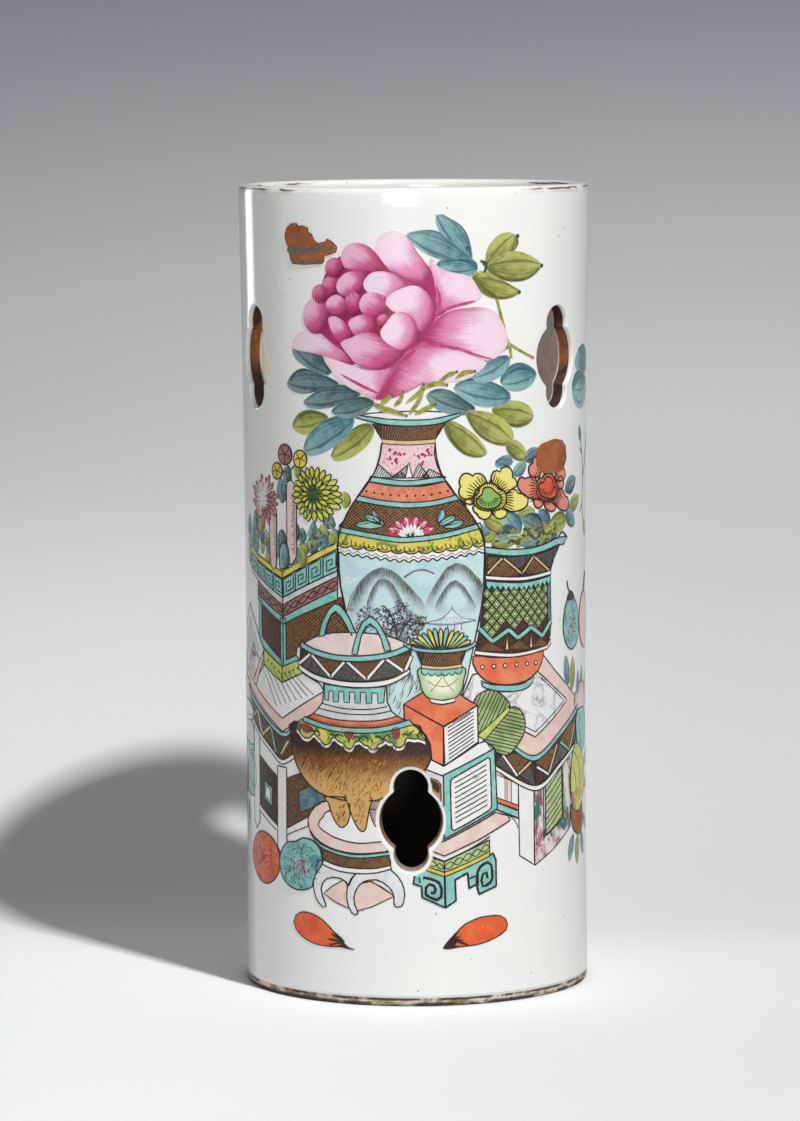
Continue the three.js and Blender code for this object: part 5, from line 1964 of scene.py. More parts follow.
def paint_plinth(books):
    books.fill("pale_pink", at("9.5,58 20,63 28.5,67.1 33.4,65.6 34.4,64 22,58 9.5,52.8 5.2,54.6 4.6,57"), 0,
               False, 0.42)
    books.line(at("9.5,51 18,54.6 26.2,58.8"), 0.34, 0)
    books.line(at("5,52.8 9.5,51"), 0.34, 0)
    low, high = at("9.5,46.7 18,50 26,53.3"), at("9.5,50.8 18,54.4 26,57.6")
    books.band("lattice_green", high, low, 0, 0.42)
    books.fill("lattice_green", at("9.5,50.8 9.5,46.7 3.6,49 4.4,52.4"), 0, False, 0.42)
    for place, count in ((strip(low, high), 5), (strip(at("3.8,49 9.3,46.9"), at("4.5,52.2 9.3,50.6")), 2)):
        guilloche(books, place, count, 0, 0.3, 0.27)
    books.band("yellow", at("9.5,47 18,50.2 26,53.6"), at("9.5,45.5 18,48.7 26,52"), 1, 0.36)
    books.fill("yellow", at("9.5,47 9.5,45.5 3.3,47.8 3.6,49.2"), 1, False, 0.36)
    books.fill("turquoise", at("9.6,45.6 18,48.8 26,52.2 27.4,52.8 28.4,50.4 28.5,41.2 22,38.8 20.9,42.4 "
                               "18.3,41 17.8,46.6 13.2,44.3 13.5,37 9.8,34.6"), 0, False, 0.6)
    books.fill("turquoise", at("9.5,45.6 3.4,48 -0.8,46.4 -1.4,43.2 1.5,42.2 1.7,38.4 9.7,34.6"), 0, False,
               0.6)
    books.line(at("9.6,45.4 9.7,34.8"), 0.55, 0)
    for spiral in ("2,45.4 4.8,44.8 7.6,43.4 8.4,41.4 8.2,38.4 6.8,37.4 4.6,38.2 2.9,39.4 3,41.8 4.2,43 "
                   "5.8,42.4 6.4,41 5.8,39.8 4.6,40",
                   "21.4,41.6 21.4,46.6 22.4,48.4 25.2,49.8 26.6,48.8 27,44 26.2,42.6 23.4,41.4 22.8,43.6 "
                   "23.4,45.8 24.8,46.2 25.1,44.2"):
        books.line(at(spiral), 0.9, 0)
    books.line(at("21,42 20.9,45.4 18.4,44.4"), 0.5, 0, False)
    books.line(at("0.6,45.6 0.9,43.4"), 0.5, 0, False)


def paint_books():
    books = Painting("cup_book_and_box", 0.2)
    paint_plinth(books)
    paint_framed_box(books)
    paint_book(books)
    paint_cup(books)
    books.wrap_up()


paint_books()

# %% [markdown]
# On the right a flared jardinière holds a yellow and a coral flower, and a square table stands below it.

# %% The jardinière and its flowers
def fringe(painting, outline, middle, level, count=8, low=0.06, high=0.5):
    """Fine tapered lines that run out over a petal from the side that faces the flower's middle."""
    heart = middle_of(outline)
    away = math.atan2(heart[1] - middle[1], heart[0] - middle[0])
    turns = []
    for s, z in outline:
        turn = math.atan2(z - middle[1], s - middle[0]) - away
        turns.append((turn + math.pi) % (2 * math.pi) - math.pi)
    reach = [math.dist(p, middle) for p in outline]
    near, far = min(reach), max(reach)
    for k in range(count):
        turn = min(turns) * 0.85 + (max(turns) - min(turns)) * 0.85 * (k + 0.5) / count
        start, end = near + (far - near) * low, near + (far - near) * hand.uniform(high * 0.7, high)
        turn += away
        painting.line([(middle[0] + start * math.cos(turn), middle[1] + start * math.sin(turn)),
                       (middle[0] + end * math.cos(turn), middle[1] + end * math.sin(turn))], 0.36, level,
                      False, True)


def flower_head(painting, petal, rows, ring, dome, dome_outline, level):
    """Lobed petals, a ring round the dome and the dome, each with its fringe."""
    middle = middle_of(dome_outline)
    for text in rows:
        outline = at(text)
        tip = max(outline, key=lambda p: math.dist(p, middle))
        painting.fill(petal, outline, level, ink=0.5, axis=(middle, tip), centre=middle_of(outline))
        fringe(painting, outline, middle, level, 8 if len(outline) > 10 else 4)
    painting.fill(petal, at(ring), level + 1, ink=0.5, axis=(middle, at(ring)[3]), centre=middle)
    fringe(painting, at(ring), middle, level + 1, 26, 0.0, 0.8)
    painting.fill(dome, dome_outline, level + 2, ink=0.5)
    for k in range(11):
        turn = math.radians(190 + 160 * k / 10)
        painting.line([(middle[0] + 2.2 * math.cos(turn), middle[1] + 1.4 * math.sin(turn)),
                       (middle[0] + 4.6 * math.cos(turn), middle[1] + 3.4 * math.sin(turn))], 0.34, level + 2,
                      False, True)


def paint_pot_flowers(pot):
    leaf_spray(pot, (
            ("seed_leaf", (23.6, 162), (32, 169.6), 0.3), ("teal_leaf", (23, 164), (27.6, 169.6), 0.3),
            ("olive_leaf", (24, 170.6), (33, 166), 0.3),
            ("seed_leaf", (38, 171), (46, 172), 0.3), ("teal_leaf", (39.6, 164.6), (32.6, 172), 0.34),
            ("dark_leaf", (50.4, 165.4), (40, 169.6), 0.34),
            ("dark_leaf", (54, 166), (48, 172), 0.32), ("olive_leaf", (65, 168), (53, 165.8), 0.3),
            ("blue_leaf", (64, 170), (71.6, 165), 0.32),
            ("olive_leaf", (66, 171), (76.5, 174.6), 0.26), ("dark_leaf", (63.4, 177.4), (72.4, 181.6), 0.32),
            ("blue_leaf", (37.4, 166), (28.6, 163.4), 0.34),
            ("blue_leaf", (36, 190), (28.6, 188.8), 0.3), ("dark_leaf", (41, 190.4), (48, 193.2), 0.3),
            ("teal_leaf", (36, 184.6), (41.6, 189), 0.32),
            ("olive_leaf", (46, 161), (53.6, 165.6), 0.3), ("dark_leaf", (52, 161.6), (59, 164), 0.3),
            ("olive_leaf", (27, 161), (39, 163), 0.2),
            ("seed_leaf", (36, 161), (48, 163.6), 0.2), ("teal_leaf", (40, 160), (49, 161.4), 0.22),
            ("olive_leaf", (49, 160.4), (55, 162.4), 0.24)))
    for _ in range(80):
        s, z = hand.uniform(25, 58), hand.uniform(159.4, 166.4)
        lean = hand.uniform(-0.4, 1.2)
        pot.line([(s, z), (s + 0.9, z + lean * 0.5), (s + 1.8, z + lean)], hand.uniform(0.6, 1.2), 2, True,
                 True,
                 hand.choice(["stem", "green_line", "green_line", "stem", "dusty_line"]))
    flower_head(pot, "coral_petal", (
        "45,190.2 44.6,188.6 43,187.6 42.9,185.8 43.6,184.4 45.4,183.6 48,183.8 49,186 48,189 46.6,190.6",
        "57,182 57.4,184.6 60,186.4 62.6,185.4 63.4,183 61.4,181.4",
        "57.6,181 58.6,182.4 60.4,183 62,181.8 62.4,180 61.4,178.8 59.4,178.6 57.8,179.4",
        "39,183.8 38,182.4 38,180.6 39,179.2 41,177.4 43,176.6 45.4,176 47.4,175.8 47,179 46.8,181.6 "
        "46,183.2 44,183.8 42,183.6 40.8,183.4 40,184",
        "45.4,175.8 45.6,174 46.8,172.8 48.4,172.8 50,174 50.6,175 48,175.6",
        "50.8,174.8 51,172.8 52.6,171.6 54.6,171 56.6,171.4 57,172.4 55,174 52.6,175",
        "57.4,178 59,178.6 61,178.6 62.6,177 63.4,175.8 65,175.2 66,173.6 65.6,171.6 64,170.6 61.4,170.8 "
        "59,171.8 57,173.2 55.4,174.6 57.4,176"),
        "46.8,180 47,182 48.6,183.2 49.6,182.8 50.4,184 52.6,184.6 55,184 56.4,182 57.6,180.4 58.4,178.6 "
        "57.8,176.4 55.8,175.4 52,175 49.4,175.4 47.4,176.6 46.6,178.4", "dome_orange",
                at("47.6,179.2 47.8,181 49,181.8 50,181.4 50.6,182.8 52,183.4 53.8,183 55.2,181.6 55.6,179.8 "
                   "56.8,179 57.4,177.6 56.4,176.2 54.6,175.6 51.8,175.8 50.2,176.4 48.4,177.4"), 3)
    flower_head(pot, "yellow_petal", (
        "25.2,182.6 24.6,184.6 23,185.9 21,186 20.2,185.2 19,186 17.2,186.2 15.8,185 15.3,183 15.8,181.6 "
        "15.2,180.8 15.2,179.2 16.2,177.8 18,177.2 20,177.6 21,179.6 22.6,181.4",
        "28.6,182 27.2,183 27.2,185 28,186.4 29.4,186.8 30.6,186.2 31.2,187.4 32.6,188 34.4,187.6 35.6,186 "
        "35.7,184.2 36.8,183.6 37.6,182.2 37.4,181 35.5,180.2 33.6,178.6 31,180.4",
        "33,178 34,179.4 35.6,180 37.2,179.6 38.2,178.4 39.6,178.2 41.4,177.6 42.6,176 42.4,174.6 41,173.2 "
        "38.6,172.4 35.6,172.2 33,172.8 31,173.6 33.2,175.4",
        "20.6,174.8 20.6,173 21.8,172 22.6,170.8 24.4,170 26,170.4 27,171.6 27.2,173.6 25,175",
        "27.6,173.6 28.2,171.6 29.4,170.2 31,170 32.6,170.6 33.4,172 32,173.8",
        "20.8,177.6 18.4,177.4 17.2,176.4 18.4,175.6 20.4,175.6"),
        "22.4,179.4 22.8,181.4 24.4,182.4 26.8,182.6 29,181.6 30.2,180.2 31.8,179.8 33,178.2 33,175.6 "
        "31.4,173.6 28.4,173 25,173 22.2,174 20.6,176 20.6,178 21.6,178.8", "dome_green",
                at("23.6,178.8 24,180.6 25.6,181.2 27.4,180.8 28.8,179.4 30,178.6 31,177.2 30.6,175.4 "
                   "28.8,174 25.8,173.6 23,174.4 21.6,175.8 21.6,177.2 22.6,178"), 3)


def paint_pot_body(pot):
    pot.fill("brown", at("25,157.6 33,156.6 42,156.3 50,157 59.8,158.8 56.2,154.5 54,150 40,148.4 25,149.8"),
             2, False, 0.42)
    for outline, pen, angle in ((at("26,157 32,155.6 38.6,150.4 36,149.4 25.6,150.4"), "ochre", 58),
                                (at("40,151 45.4,156 52,150.4 46,149.6"), "ochre", 55)):
        pot.hatch(outline, angle, 0.7, 0.24, 2, pen)
    for outline in (at("33,156 38,151.4 44,156.2"), at("46.4,155.8 53.4,151 58.4,158")):
        pot.fill("grey_line", outline, 3, False, 0.0)
        pot.hatch(outline, 40, 0.62, 0.26, 3)
    slants = ("25.6,151 31.4,156.2", "32,156 40,150", "39.6,150 45.6,156.4", "45.2,156 54,149.8")
    bars(pot, [("cream", *at(slant)) for slant in slants], 4, 0.5, 0.32)
    body = at("25,148.4 24.2,142 22.8,132 21,124 36,121.8 52,123.4 53.6,127 54.4,132 54.1,140 54,149 40,147.6")
    pot.fill("brown", body, 2, False, 0.45)
    for row in range(-1, 9):
        for col in range(-1, 9):
            s = 23.6 + 3.7 * col + (1.85 if row % 2 else 0)
            z = 130.4 + 1.95 * row
            if 24.8 < s < 51.8 and 131.6 + 1.6 * math.cos((s - 23) * 0.7) < z < 144.8:
                pot.fill("lattice_leaf", [(s - 1.65, z), (s, z + 1.75), (s + 1.65, z), (s, z - 1.75)], 3,
                         False, 0.3)
                pot.fill("pale_leaf", [(s - 0.75, z), (s, z + 0.8), (s + 0.75, z), (s, z - 0.8)], 4, False,
                         0.22)
    pot.fill("blue_grey", at("52.2,146.4 54,148 54.2,140 54.5,132 53.8,127 52.6,131.4"), 4, False, 0.3)
    zig = at("22.6,132 27.5,127.2 34,131 38,127.8 44,131.2 49.5,127.6 54.2,132.4")
    pot.line(zig, 1.9, 4, False)
    bars(pot, [("turquoise", a, b) for a, b in zip(zig, zig[1:])], 5, 0.6, 0.0)
    for peak in (33.4, 44):
        pot.fill("cream", [(peak - 0.7, 124), (peak, 129.6), (peak + 0.7, 124)], 3, False, 0.28)
    for left, peak, right in ((21.6, 26.6, 32.4), (34, 38.6, 43.4), (44.6, 49, 53)):
        pot.hatch([(left, 124.2), (peak, 127), (right, 123.6)], 60, 0.6, 0.24, 3, "ochre")
    low, high = at("25,145.6 40,144.4 54,145.6"), at("25.2,148.6 40,147.2 54,148.6")
    place = strip(low, high)
    saw = [place(u / 12, 0.95) for u in range(13)] + [place(1 - i / 26,
                                                            0.5 if i % 2 == 0 else -0.05) for i in range(27)]
    pot.fill("turquoise", saw, 5, False, 0.3)
    pot.band("white", at("24.8,150.4 40,149.1 54,150.3"), at("25,149 40,147.8 54.2,148.9"), 5, 0.36)
    pot.band("turquoise", at("24.6,160.4 33,159.2 42,158.9 50,159.7 58,161.4 65,161.4"),
             at("24.8,158.2 33,156.9 42,156.6 50,157.4 58,158.9 62.4,158.9"), 5, 0.42)
    pot.line(at("58,161 61.5,163.4 65,161"), 0.36, 5)
    pot.band("white", at("20.8,124.4 36,122.6 52.2,124.2 53.8,126.2"),
             at("20.6,123 36,121.3 52,122.9 54,124.4"), 5, 0.36)
    pot.fill("coral", at("20.2,122.3 28,121.6 36,121.3 44,121.7 50,122.6 49.2,118.3 46.5,115 42,112.6 "
                         "36,111.7 30,112 25,113.6 21.3,117.3"), 3, ink=0.45)
    for s in (23.6, 28, 32.5, 37.3, 42, 46.2):
        pot.dot((s, 118.5), 0.95, 4, "ink")
        pot.dot((s, 118.5), 0.5, 5, "white_line")
    pot.band("turquoise", at("23,113.8 27,112.2 36,111.4 41,111.9 45.2,113.9"),
             at("23.8,111.6 28,110 36,109.2 42,109.9 44.6,111.8"), 4, 0.42)


def paint_jardiniere():
    pot = Painting("jardiniere")
    paint_pot_flowers(pot)
    paint_pot_body(pot)
    pot.wrap_up()


paint_jardiniere()

# %% [markdown]
# At the left a square pot of chrysanthemums stands on a marble-topped table, seen corner on, so its two
# faces are strips that slope away from the corner, and each pattern is set out once for both.

# %% The square pot
def key_fret(painting, place, count, level, width=0.42):
    """Square spirals side by side along a strip."""
    for i in range(count):
        u = (i + 0.08) / count
        w = 0.84 / count
        spiral = ((0, 0.06), (0, 0.92), (1, 0.92), (1, 0.2), (0.28, 0.2), (0.28, 0.66), (0.7, 0.66),
                  (0.7, 0.42), (0.5, 0.42))
        painting.line([place(u + w * a, b) for a, b in spiral], width, level, False)
        painting.line([place(u + w * 0.98, 0.04), place(u + w * 1.18, 0.04), place(u + w * 1.18, 0.9)],
                      width * 0.8, level, False)


POT_LEFT, POT_CORNER, POT_RIGHT = -70.5, -53.2, -28.2


def two_faces(corner_low, corner_high, right_low, right_high, left_low, left_high):
    """The right and left face of a band round the corner, as edges given by their heights."""
    low, high = (POT_CORNER, corner_low), (POT_CORNER, corner_high)
    right = ([low, (POT_RIGHT, right_low)], [high, (POT_RIGHT, right_high)])
    left = ([(POT_LEFT, left_low), low], [(POT_LEFT, left_high), high])
    return right, left


def paint_pot_bands(pot):
    bands = [("yellow", 148, 150.4, 159.8, 162.2, 153.2, 155.4),
             ("turquoise", 141.2, 148, 152.2, 159.8, 148, 153.2),
             ("grey_white", 138.6, 141.2, 150.2, 152.2, 146, 148),
             ("dusty_red", 134.4, 138.6, 145.8, 150.2, 141.4, 146),
             ("turquoise", 131.9, 134.4, 142.2, 145.8, 139.4, 141.4)]
    for k, (enamel, *heights) in enumerate(bands):
        for low, high in two_faces(*heights):
            pot.band(enamel, high, low, 1 if enamel != "dusty_red" else 0, 0.42)
            if k == 1:
                key_fret(pot, strip(low, high), 4 if low[0][0] > -60 else 3, 1)
            if k == 3:
                guilloche(pot, strip(low, high), 6 if low[0][0] > -60 else 4, 1)
    pot.fill("yellow", at("-70.5,153.2 -76,155.4 -80.6,158.4 -81,160 -76,157.6 -70.5,155.4"), 1, False, 0.36)
    pot.fill("turquoise", at("-70.5,148 -76,150 -80.4,153.6 -80.6,158 -76,155.2 -70.5,153.2"), 0, False, 0.36)
    for s, z in at("-73,151 -76.6,153"):
        pot.line([(s - 1.2, z - 1), (s - 1.2, z + 1.8), (s + 1, z + 0.8), (s + 0.8, z - 0.8),
                  (s - 0.3, z - 0.3)], 0.34, 1, False)
    pot.fill("grey_white", at("-70.5,146 -76,148.6 -80,152 -80.4,153.6 -76,150.2 -70.5,148"), 0, False, 0.34)


def paint_pot_panels(pot):
    right = at("-51.5,132.4 -40,138.2 -33,141 -28.2,142.6 -26.5,143 -25.7,139 -24.3,132 -24.6,127 -36,126.4 "
               "-42,126 -46,124 -46.4,121.4 -51.6,119.4")
    left = at("-67.4,138.4 -55,132.9 -55,119.4 -67.4,126.2")
    for panel, angles, gap, width, pen in ((right, (40, 140), 1.0, 0.2, "ochre"),
                                           (left, (50, 130), 0.9, 0.16, "dusty_line")):
        pot.fill("brown", panel, 0, False, 0.42)
        for angle in angles:
            pot.hatch(panel, angle, gap, width, 0, pen)
    pot.fill("turquoise", at("-54.6,134 -51.6,134 -51.6,119.4 -46.4,121.5 -44.6,119.6 -54,116.8 -54.6,119.4"),
             1, False, 0.42)
    pot.fill("turquoise", at("-69.6,141.4 -67.4,139.2 -67.4,126.4 -54.6,119.4 -54.2,116.9 -66.6,122.8 "
                             "-69.8,126.6"), 1, False, 0.42)
    pot.line(at("-53.2,150.4 -53.2,117"), 0.46, 2)
    pot.fill("yellow_green", at("-53.8,116.8 -44.4,120.2 -43.2,118.4 -43.6,115.3 -54,111.1"), 2, False, 0.42)
    pot.fill("yellow_green", at("-53.8,116.8 -65.4,121.9 -66,119 -65.4,116.4 -54,111.1"), 2, False, 0.42)
    for i in range(4):
        pot.dot((-52 + 2.1 * i, 114.4 + 0.85 * i), 0.42, 2)
        pot.dot((-56.2 - 2.1 * i, 115 + 1.1 * i), 0.42, 2)


DUSTY_BLOOM, YELLOW_BLOOM = (-64.4, 174.6), (-37.8, 178.4)


def paint_chrysanthemums(pot):
    for k, (enamel, s, z, tall) in enumerate((
            ("blue_leaf", -43, 163, 6), ("olive_leaf", -33, 164.6, 6), ("olive_leaf", -24.6, 176.4, 6),
            ("blue_leaf", -38.4, 166, 5),
            ("dark_leaf", -46.4, 164, 8), ("olive_leaf", -43, 155.4, 7), ("dark_leaf", -52.4, 178, 9),
            ("seed_leaf", -45, 186, 6),
            ("blue_leaf", -75, 160, 8), ("blue_leaf", -71, 158, 7), ("olive_leaf", -66, 157.4, 5),
            ("dark_leaf", -54, 160, 9),
            ("olive_leaf", -61.6, 153.4, 7), ("teal_leaf", -80, 164, 8), ("olive_leaf", -78, 158, 6),
            ("dark_leaf", -50, 184, 6),
            ("blue_leaf", -30.4, 162.4, 5), ("olive_leaf", -52.6, 152.6, 6), ("dark_leaf", -40, 160.4, 5))):
        pot.fill(enamel, leaf_ring((s, z - tall * 0.4), (s + hand.uniform(-1.5, 1.5), z + tall * 0.6), 0.34),
                 k % 3, ink=0.0,
                 axis=((s, z - tall * 0.4), (s, z + tall * 0.6)), centre=(s, z + tall * 0.1))
    for i in range(46):
        s = hand.uniform(-74, -28.6)
        z = 151.6 + abs(s + 53) * (0.5 if s < -53 else 0.44) + hand.uniform(0.2,
                9) * (0.6 + 0.4 * hand.random())
        tall, lean = hand.uniform(3.2, 6), hand.uniform(-2.4, 2.4)
        enamel = hand.choice(("dark_leaf", "blue_leaf", "olive_leaf", "seed_leaf", "dark_leaf", "teal_leaf"))
        pot.fill(enamel, leaf_ring((s, z - tall * 0.4), (s + lean, z + tall * 0.5), 0.42), i % 3, ink=0.0,
                 axis=((s, z - tall * 0.4), (s + lean, z + tall * 0.5)), centre=(s + lean * 0.4, z))
    for _ in range(90):
        s = hand.uniform(-72, -29)
        z = 152.4 + abs(s + 53) * 0.46 + hand.uniform(0, 7)
        pot.line([(s, z), (s + hand.uniform(-0.9, 0.9), z + hand.uniform(0.6, 1.8))], hand.uniform(0.3, 0.8),
                 2, False, True,
                 hand.choice(("green_line", "stem", "tree_line", "green_line", "dusty_line")))
    for stalk in ("-50,182 -50.4,170 -50.4,160 -50,153.4 -46,155.6 -45.6,168 -45.8,181 -48,183",
                  "-59.8,172 -60.6,165 -60,152.6 -57,151.6 -56.4,162 -56.4,172 -58,174"):
        pot.fill("pale_pink", at(stalk), 3, ink=0.4)
    for i in range(34):
        z = 157 + i * 0.62
        pot.line([(-46.2 - hand.uniform(0.6, 2.4), z), (-46, z + 0.5)], 0.24, 3, False, True)
    for i in range(16):
        z = 155 + i * 0.9
        pot.line([(-57 - hand.uniform(0.5, 1.4), z), (-56.8, z + 0.4)], 0.24, 3, False, True)
    pot.fill("teal_leaf", at("-54.6,152 -54.4,158 -53,160.4 -50.6,160.4 -49.6,158 -49.4,153.4 -52,151.6"), 4,
             ink=0.4,
             axis=((-52, 152), (-52, 160)), centre=(-52, 156))
    pot.line(at("-48,183 -48.4,186.4 -50.4,188.6"), 0.7, 3, pen="green_line")
    pot.line(at("-48.4,186.2 -45.6,188.6"), 0.5, 3, pen="green_line")
    pot.line(at("-49,185.4 -52.6,185.8"), 0.5, 3, pen="green_line")
    s, z = DUSTY_BLOOM
    for i in range(46):
        angle = math.radians(i * 137.5)
        out = 4.0 + 5.6 * (i / 46)
        flat = 1.0 if math.sin(angle) > 0 else 0.9
        far = (s + out * 1.12 * math.cos(angle), z + out * 1.05 * math.sin(angle) * flat)
        start = between((s, z), far, 0.42)
        pot.fill("dusty_petal", leaf_ring(start, far, 0.16), 5 if i % 2 else 4, ink=0.26, axis=((s, z), far),
                 centre=between(start, far, 0.5), pen="dusty_line")
    tuft(pot, (s - 0.6, z + 1.4), 7.4, 44, 20, 260, 0.22, 6, "white_line")
    tuft(pot, (s, z), 4.0, 20, 0, 360, 0.26, 6, "white_line")
    s, z = YELLOW_BLOOM
    for ring, count, low, high in ((4, 24, 2.2, 10.6), (5, 15, 0.8, 6.6)):
        for i in range(count):
            angle = 2 * math.pi * (i + 0.3 * ring) / count
            wide = 1.12 if math.cos(angle) > -0.3 else 0.86
            far = (s + high * wide * math.cos(angle) * hand.uniform(0.92, 1.06),
                   z + high * 0.92 * math.sin(angle))
            start = between((s, z), far, low / high)
            pot.fill("mum_petal", leaf_ring(start, far, 0.17), ring, ink=0.34, axis=((s, z), far),
                     centre=between(start, far, 0.6))
    tuft(pot, (s, z), 4.0, 18, 0, 360, 0.5, 6, "green_line")
    for (s, z), radius, enamel in (((-51, 191.7), 3.6, "dusty_red"), ((-43.5, 190.5), 3.1, "yellow"),
                                   ((-55.5, 185.7), 2.9, "yellow")):
        pot.dot((s, z), radius, 4, enamel, 0.42)
        pot.line([(s - radius * 0.5, z + radius * 0.7), (s, z), (s + radius * 0.6, z + radius * 0.6)], 0.34,
                 4)
        pot.line([(s, z), (s - 0.2, z - radius * 0.9)], 0.34, 4)
        pot.line([(s - radius * 0.8, z - radius * 0.1), (s - 0.4, z + 0.2),
                  (s + radius * 0.8, z - radius * 0.2)], 0.3, 4)


def paint_square_pot():
    pot = Painting("square_pot")
    paint_chrysanthemums(pot)
    paint_pot_panels(pot)
    paint_pot_bands(pot)
    pot.wrap_up()


paint_square_pot()

# %% The table under it
def paint_left_table():
    table = Painting("marble_table", 0.03)
    table.fill("pale_pink", at("-82,108.6 -54,93.8 -37,102.4 -33.4,107.4 -34,109.7 -44.5,115.7 -66,116 "
                               "-72,119.4 -76,123 -82,115"), 0, False, 0.42)
    table.fill("white", at("-75,109 -54,98.5 -34,109.7 -36,112.4 -43.4,115.4 -54,111.2 -65.4,116.2"), 1,
               False, 0.42)
    for i in range(8):
        share = (i + 1) / 9
        table.line([between((-69, 114.2), (-45, 115.4), share), between((-66.6, 112), (-40, 111.2), share),
                    between((-60, 101.6), (-35.6, 109), share)], 0.26, 1)
    table.fill("white", at("-88,124 -85,131 -80,137 -72,129 -66,121.4 -72,114 -78,109.4 -86,115"), 0, False,
               0.38)
    for i in range(9):
        share = (i + 1) / 10
        table.line([between((-79.6, 134.6), (-86.6, 121), share), between((-68.6, 122), (-78, 110.6), share)],
                   0.24, 0)
    table.fill("pale_pink", at("-75.6,109.4 -72,114 -66.4,121 -66,118.4 -69.6,113.4 -72.6,108.4"), 2, False,
               0.36)
    table.band("turquoise", at("-83,107.6 -68.5,100.4 -54,93.6 -48,96.6 -43,99"),
               at("-83,106 -68.5,98.8 -54,92 -48,94.9 -42.4,97.4"), 2, 0.4)
    apron = at("-82,105.6 -68.5,98.8 -54,92 -49.8,94 -49,88.6 -48,85.6 -54.5,83 -62,87 -71,92 -77,97")
    table.fill("brown", apron, 0, False, 0.42)
    bars(table, [("turquoise", (-80, 104), (-75.6, 97)), ("cream", (-75.6, 97), (-71.6, 100)),
                 ("white", (-71.6, 100), (-68, 91.6)), ("cream", (-68, 91), (-61, 95)),
                 ("turquoise", (-61, 94.6), (-58, 86)), ("cream", (-55, 85.6), (-50.6, 91))], 1, 0.6)
    table.hatch(apron, 50, 1.3, 0.22, 0, "ochre")
    table.band("white", at("-78,97.6 -71,92.6 -62,88 -54.5,83.8 -48,86.6"),
               at("-78,96.2 -71,91 -62,86.4 -54.5,82.2 -47.6,85"), 2, 0.38)
    table.fill("white", at("-75.6,93.6 -70.2,90.4 -70.2,60 -73,57 -75.6,60"), 0, False, 0.42)
    table.fill("white", at("-57,81.4 -51.8,81.2 -51.8,51.6 -54.4,49.6 -57,52.6"), 1, False, 0.42)
    dark = at("-69.6,83.6 -57,77.4 -57,59 -69.6,65")
    table.fill("brown", dark, 0, False, 0.4)
    table.hatch(dark, 60, 0.9, 0.24, 0)
    table.fill("turquoise", at("-65.8,75 -60.4,73 -60.8,66.6 -66,68.8"), 1, False, 0.42)
    table.fill("white", at("-65,73.6 -61.6,72.2 -61.8,68.2 -65.2,69.6"), 2, False, 0.3)
    table.fill("white", at("-70.2,66 -57,60 -57,58 -70.2,64"), 1, False, 0.34)
    dark = at("-51.8,77.4 -44,80.2 -40,76.4 -33,72.6 -35,69 -41,65.4 -51.8,59.4")
    table.fill("brown", dark, 0, False, 0.42)
    table.hatch(dark, 58, 0.9, 0.22, 0, "ochre")
    table.fill("blue_grey", at("-45.6,73.4 -40,76 -34,73.2 -33.4,71.2 -39,68.4 -45,66"), 1, False, 0.42)
    table.fill("white", at("-51.8,59.6 -41.6,64.6 -40.6,61.8 -51.8,57.4"), 1, False, 0.36)
    table.wrap_up()


paint_left_table()

# %% [markdown]
# The round stand carries the censer, and fruit and seeds lie on the ground between the pieces.

# %% The round stand
def paint_round_stand():
    stand = Painting("round_stand", 0.1)
    for inside in ("-34.4,38.4 -31,41.2 -26.6,43.6 -25.2,42.4 -24.8,33.8 -30,35.8",
                   "-21.6,33 -16,34.8 -8,38.8 -12,41.4 -16.4,43.8 -20.6,42.6 -22.8,38"):
        stand.fill("pale_pink", at(inside), 0, False, 0.36)
    stand.line(at("-16.4,43.6 -12,41.6 -8.2,38.8"), 0.34, 0)
    stand.fill("leg_white", at("-22,48.6 -21.8,46.4 -23.6,44.4 -24.8,42 -25.3,39.6 -25.2,36.8 -24.5,34.2 "
                               "-23.4,32.4 -22.2,31.7 -21.2,32 -21.4,33.4 -22.3,35.2 -22.6,37.6 -22,40 "
                               "-20.8,42 -19.2,43.4 -17,44.2 -14.4,44.4 -12,43.6 -9.8,41.9 -8.6,40.2 "
                               "-8.1,38.4 -8.2,36.6 -7.9,35.3 -6.8,34.9 -5.5,35.3 -4.8,36.6 -4.4,39 "
                               "-4.6,41.2 -5.4,43.6 -6.8,45.8 -8.6,47.4 -10,48.4 -16,47.6"), 1, True, 0.42)
    stand.fill("leg_white", at("-36.4,50 -37.6,46 -38.8,42 -38.4,38.4 -37,35.4 -35,33.5 -33.6,33.8 -33.8,35 "
                               "-35,37.4 -35.6,40 -34.8,42.2 -33.2,43.7 -30.6,44.4 -27.6,44.2 -25.4,43 "
                               "-24.4,41.8 -23.2,44.6 -21.8,46.2 -22,48.6 -28,49"), 1, True, 0.42)
    stand.fill("pale_pink", at("-32.3,71.2 -38,68.7 -41.2,64 -40.2,60 -36,56.5 -30,54.3 -22,53.3 -14,54 "
                               "-9.4,55.4 -12,62 -13,70"), 0, ink=0.42)
    stand.fill("white", at("-31.3,68 -34.4,65.6 -36.7,62.5 -33,59.8 -28,58 -21,57 -14,57.7 -11,58.6 -12,64 "
                           "-14,69"), 1, ink=0.42)
    low = at("-34.8,50 -30,48.7 -26,48.1 -20,47.9 -14,48.3 -9.4,49.4")
    high = at("-36.4,55.2 -30,53.2 -26,52.6 -20,52.3 -15,52.8 -8.8,53.8")
    stand.band("brown", high, low, 1, 0.42)
    weave(stand, strip(low, high), 7, 6, 1)
    stand.band("turquoise", at("-40.4,60.4 -36,56 -28,53.6 -20,53 -9.4,54.4"),
               at("-39.8,59 -36,54.9 -28,52.4 -20,51.8 -9.2,53.2"), 2, 0.4)
    stand.band("white", at("-34.8,50.4 -30,48.9 -26,48.3 -20,48.1 -14,48.5 -9.4,49.6"),
               at("-34.8,48.6 -30,47.1 -26,46.5 -20,46.3 -14,46.9 -9,48.4"), 2, 0.42)
    stand.wrap_up()


paint_round_stand()

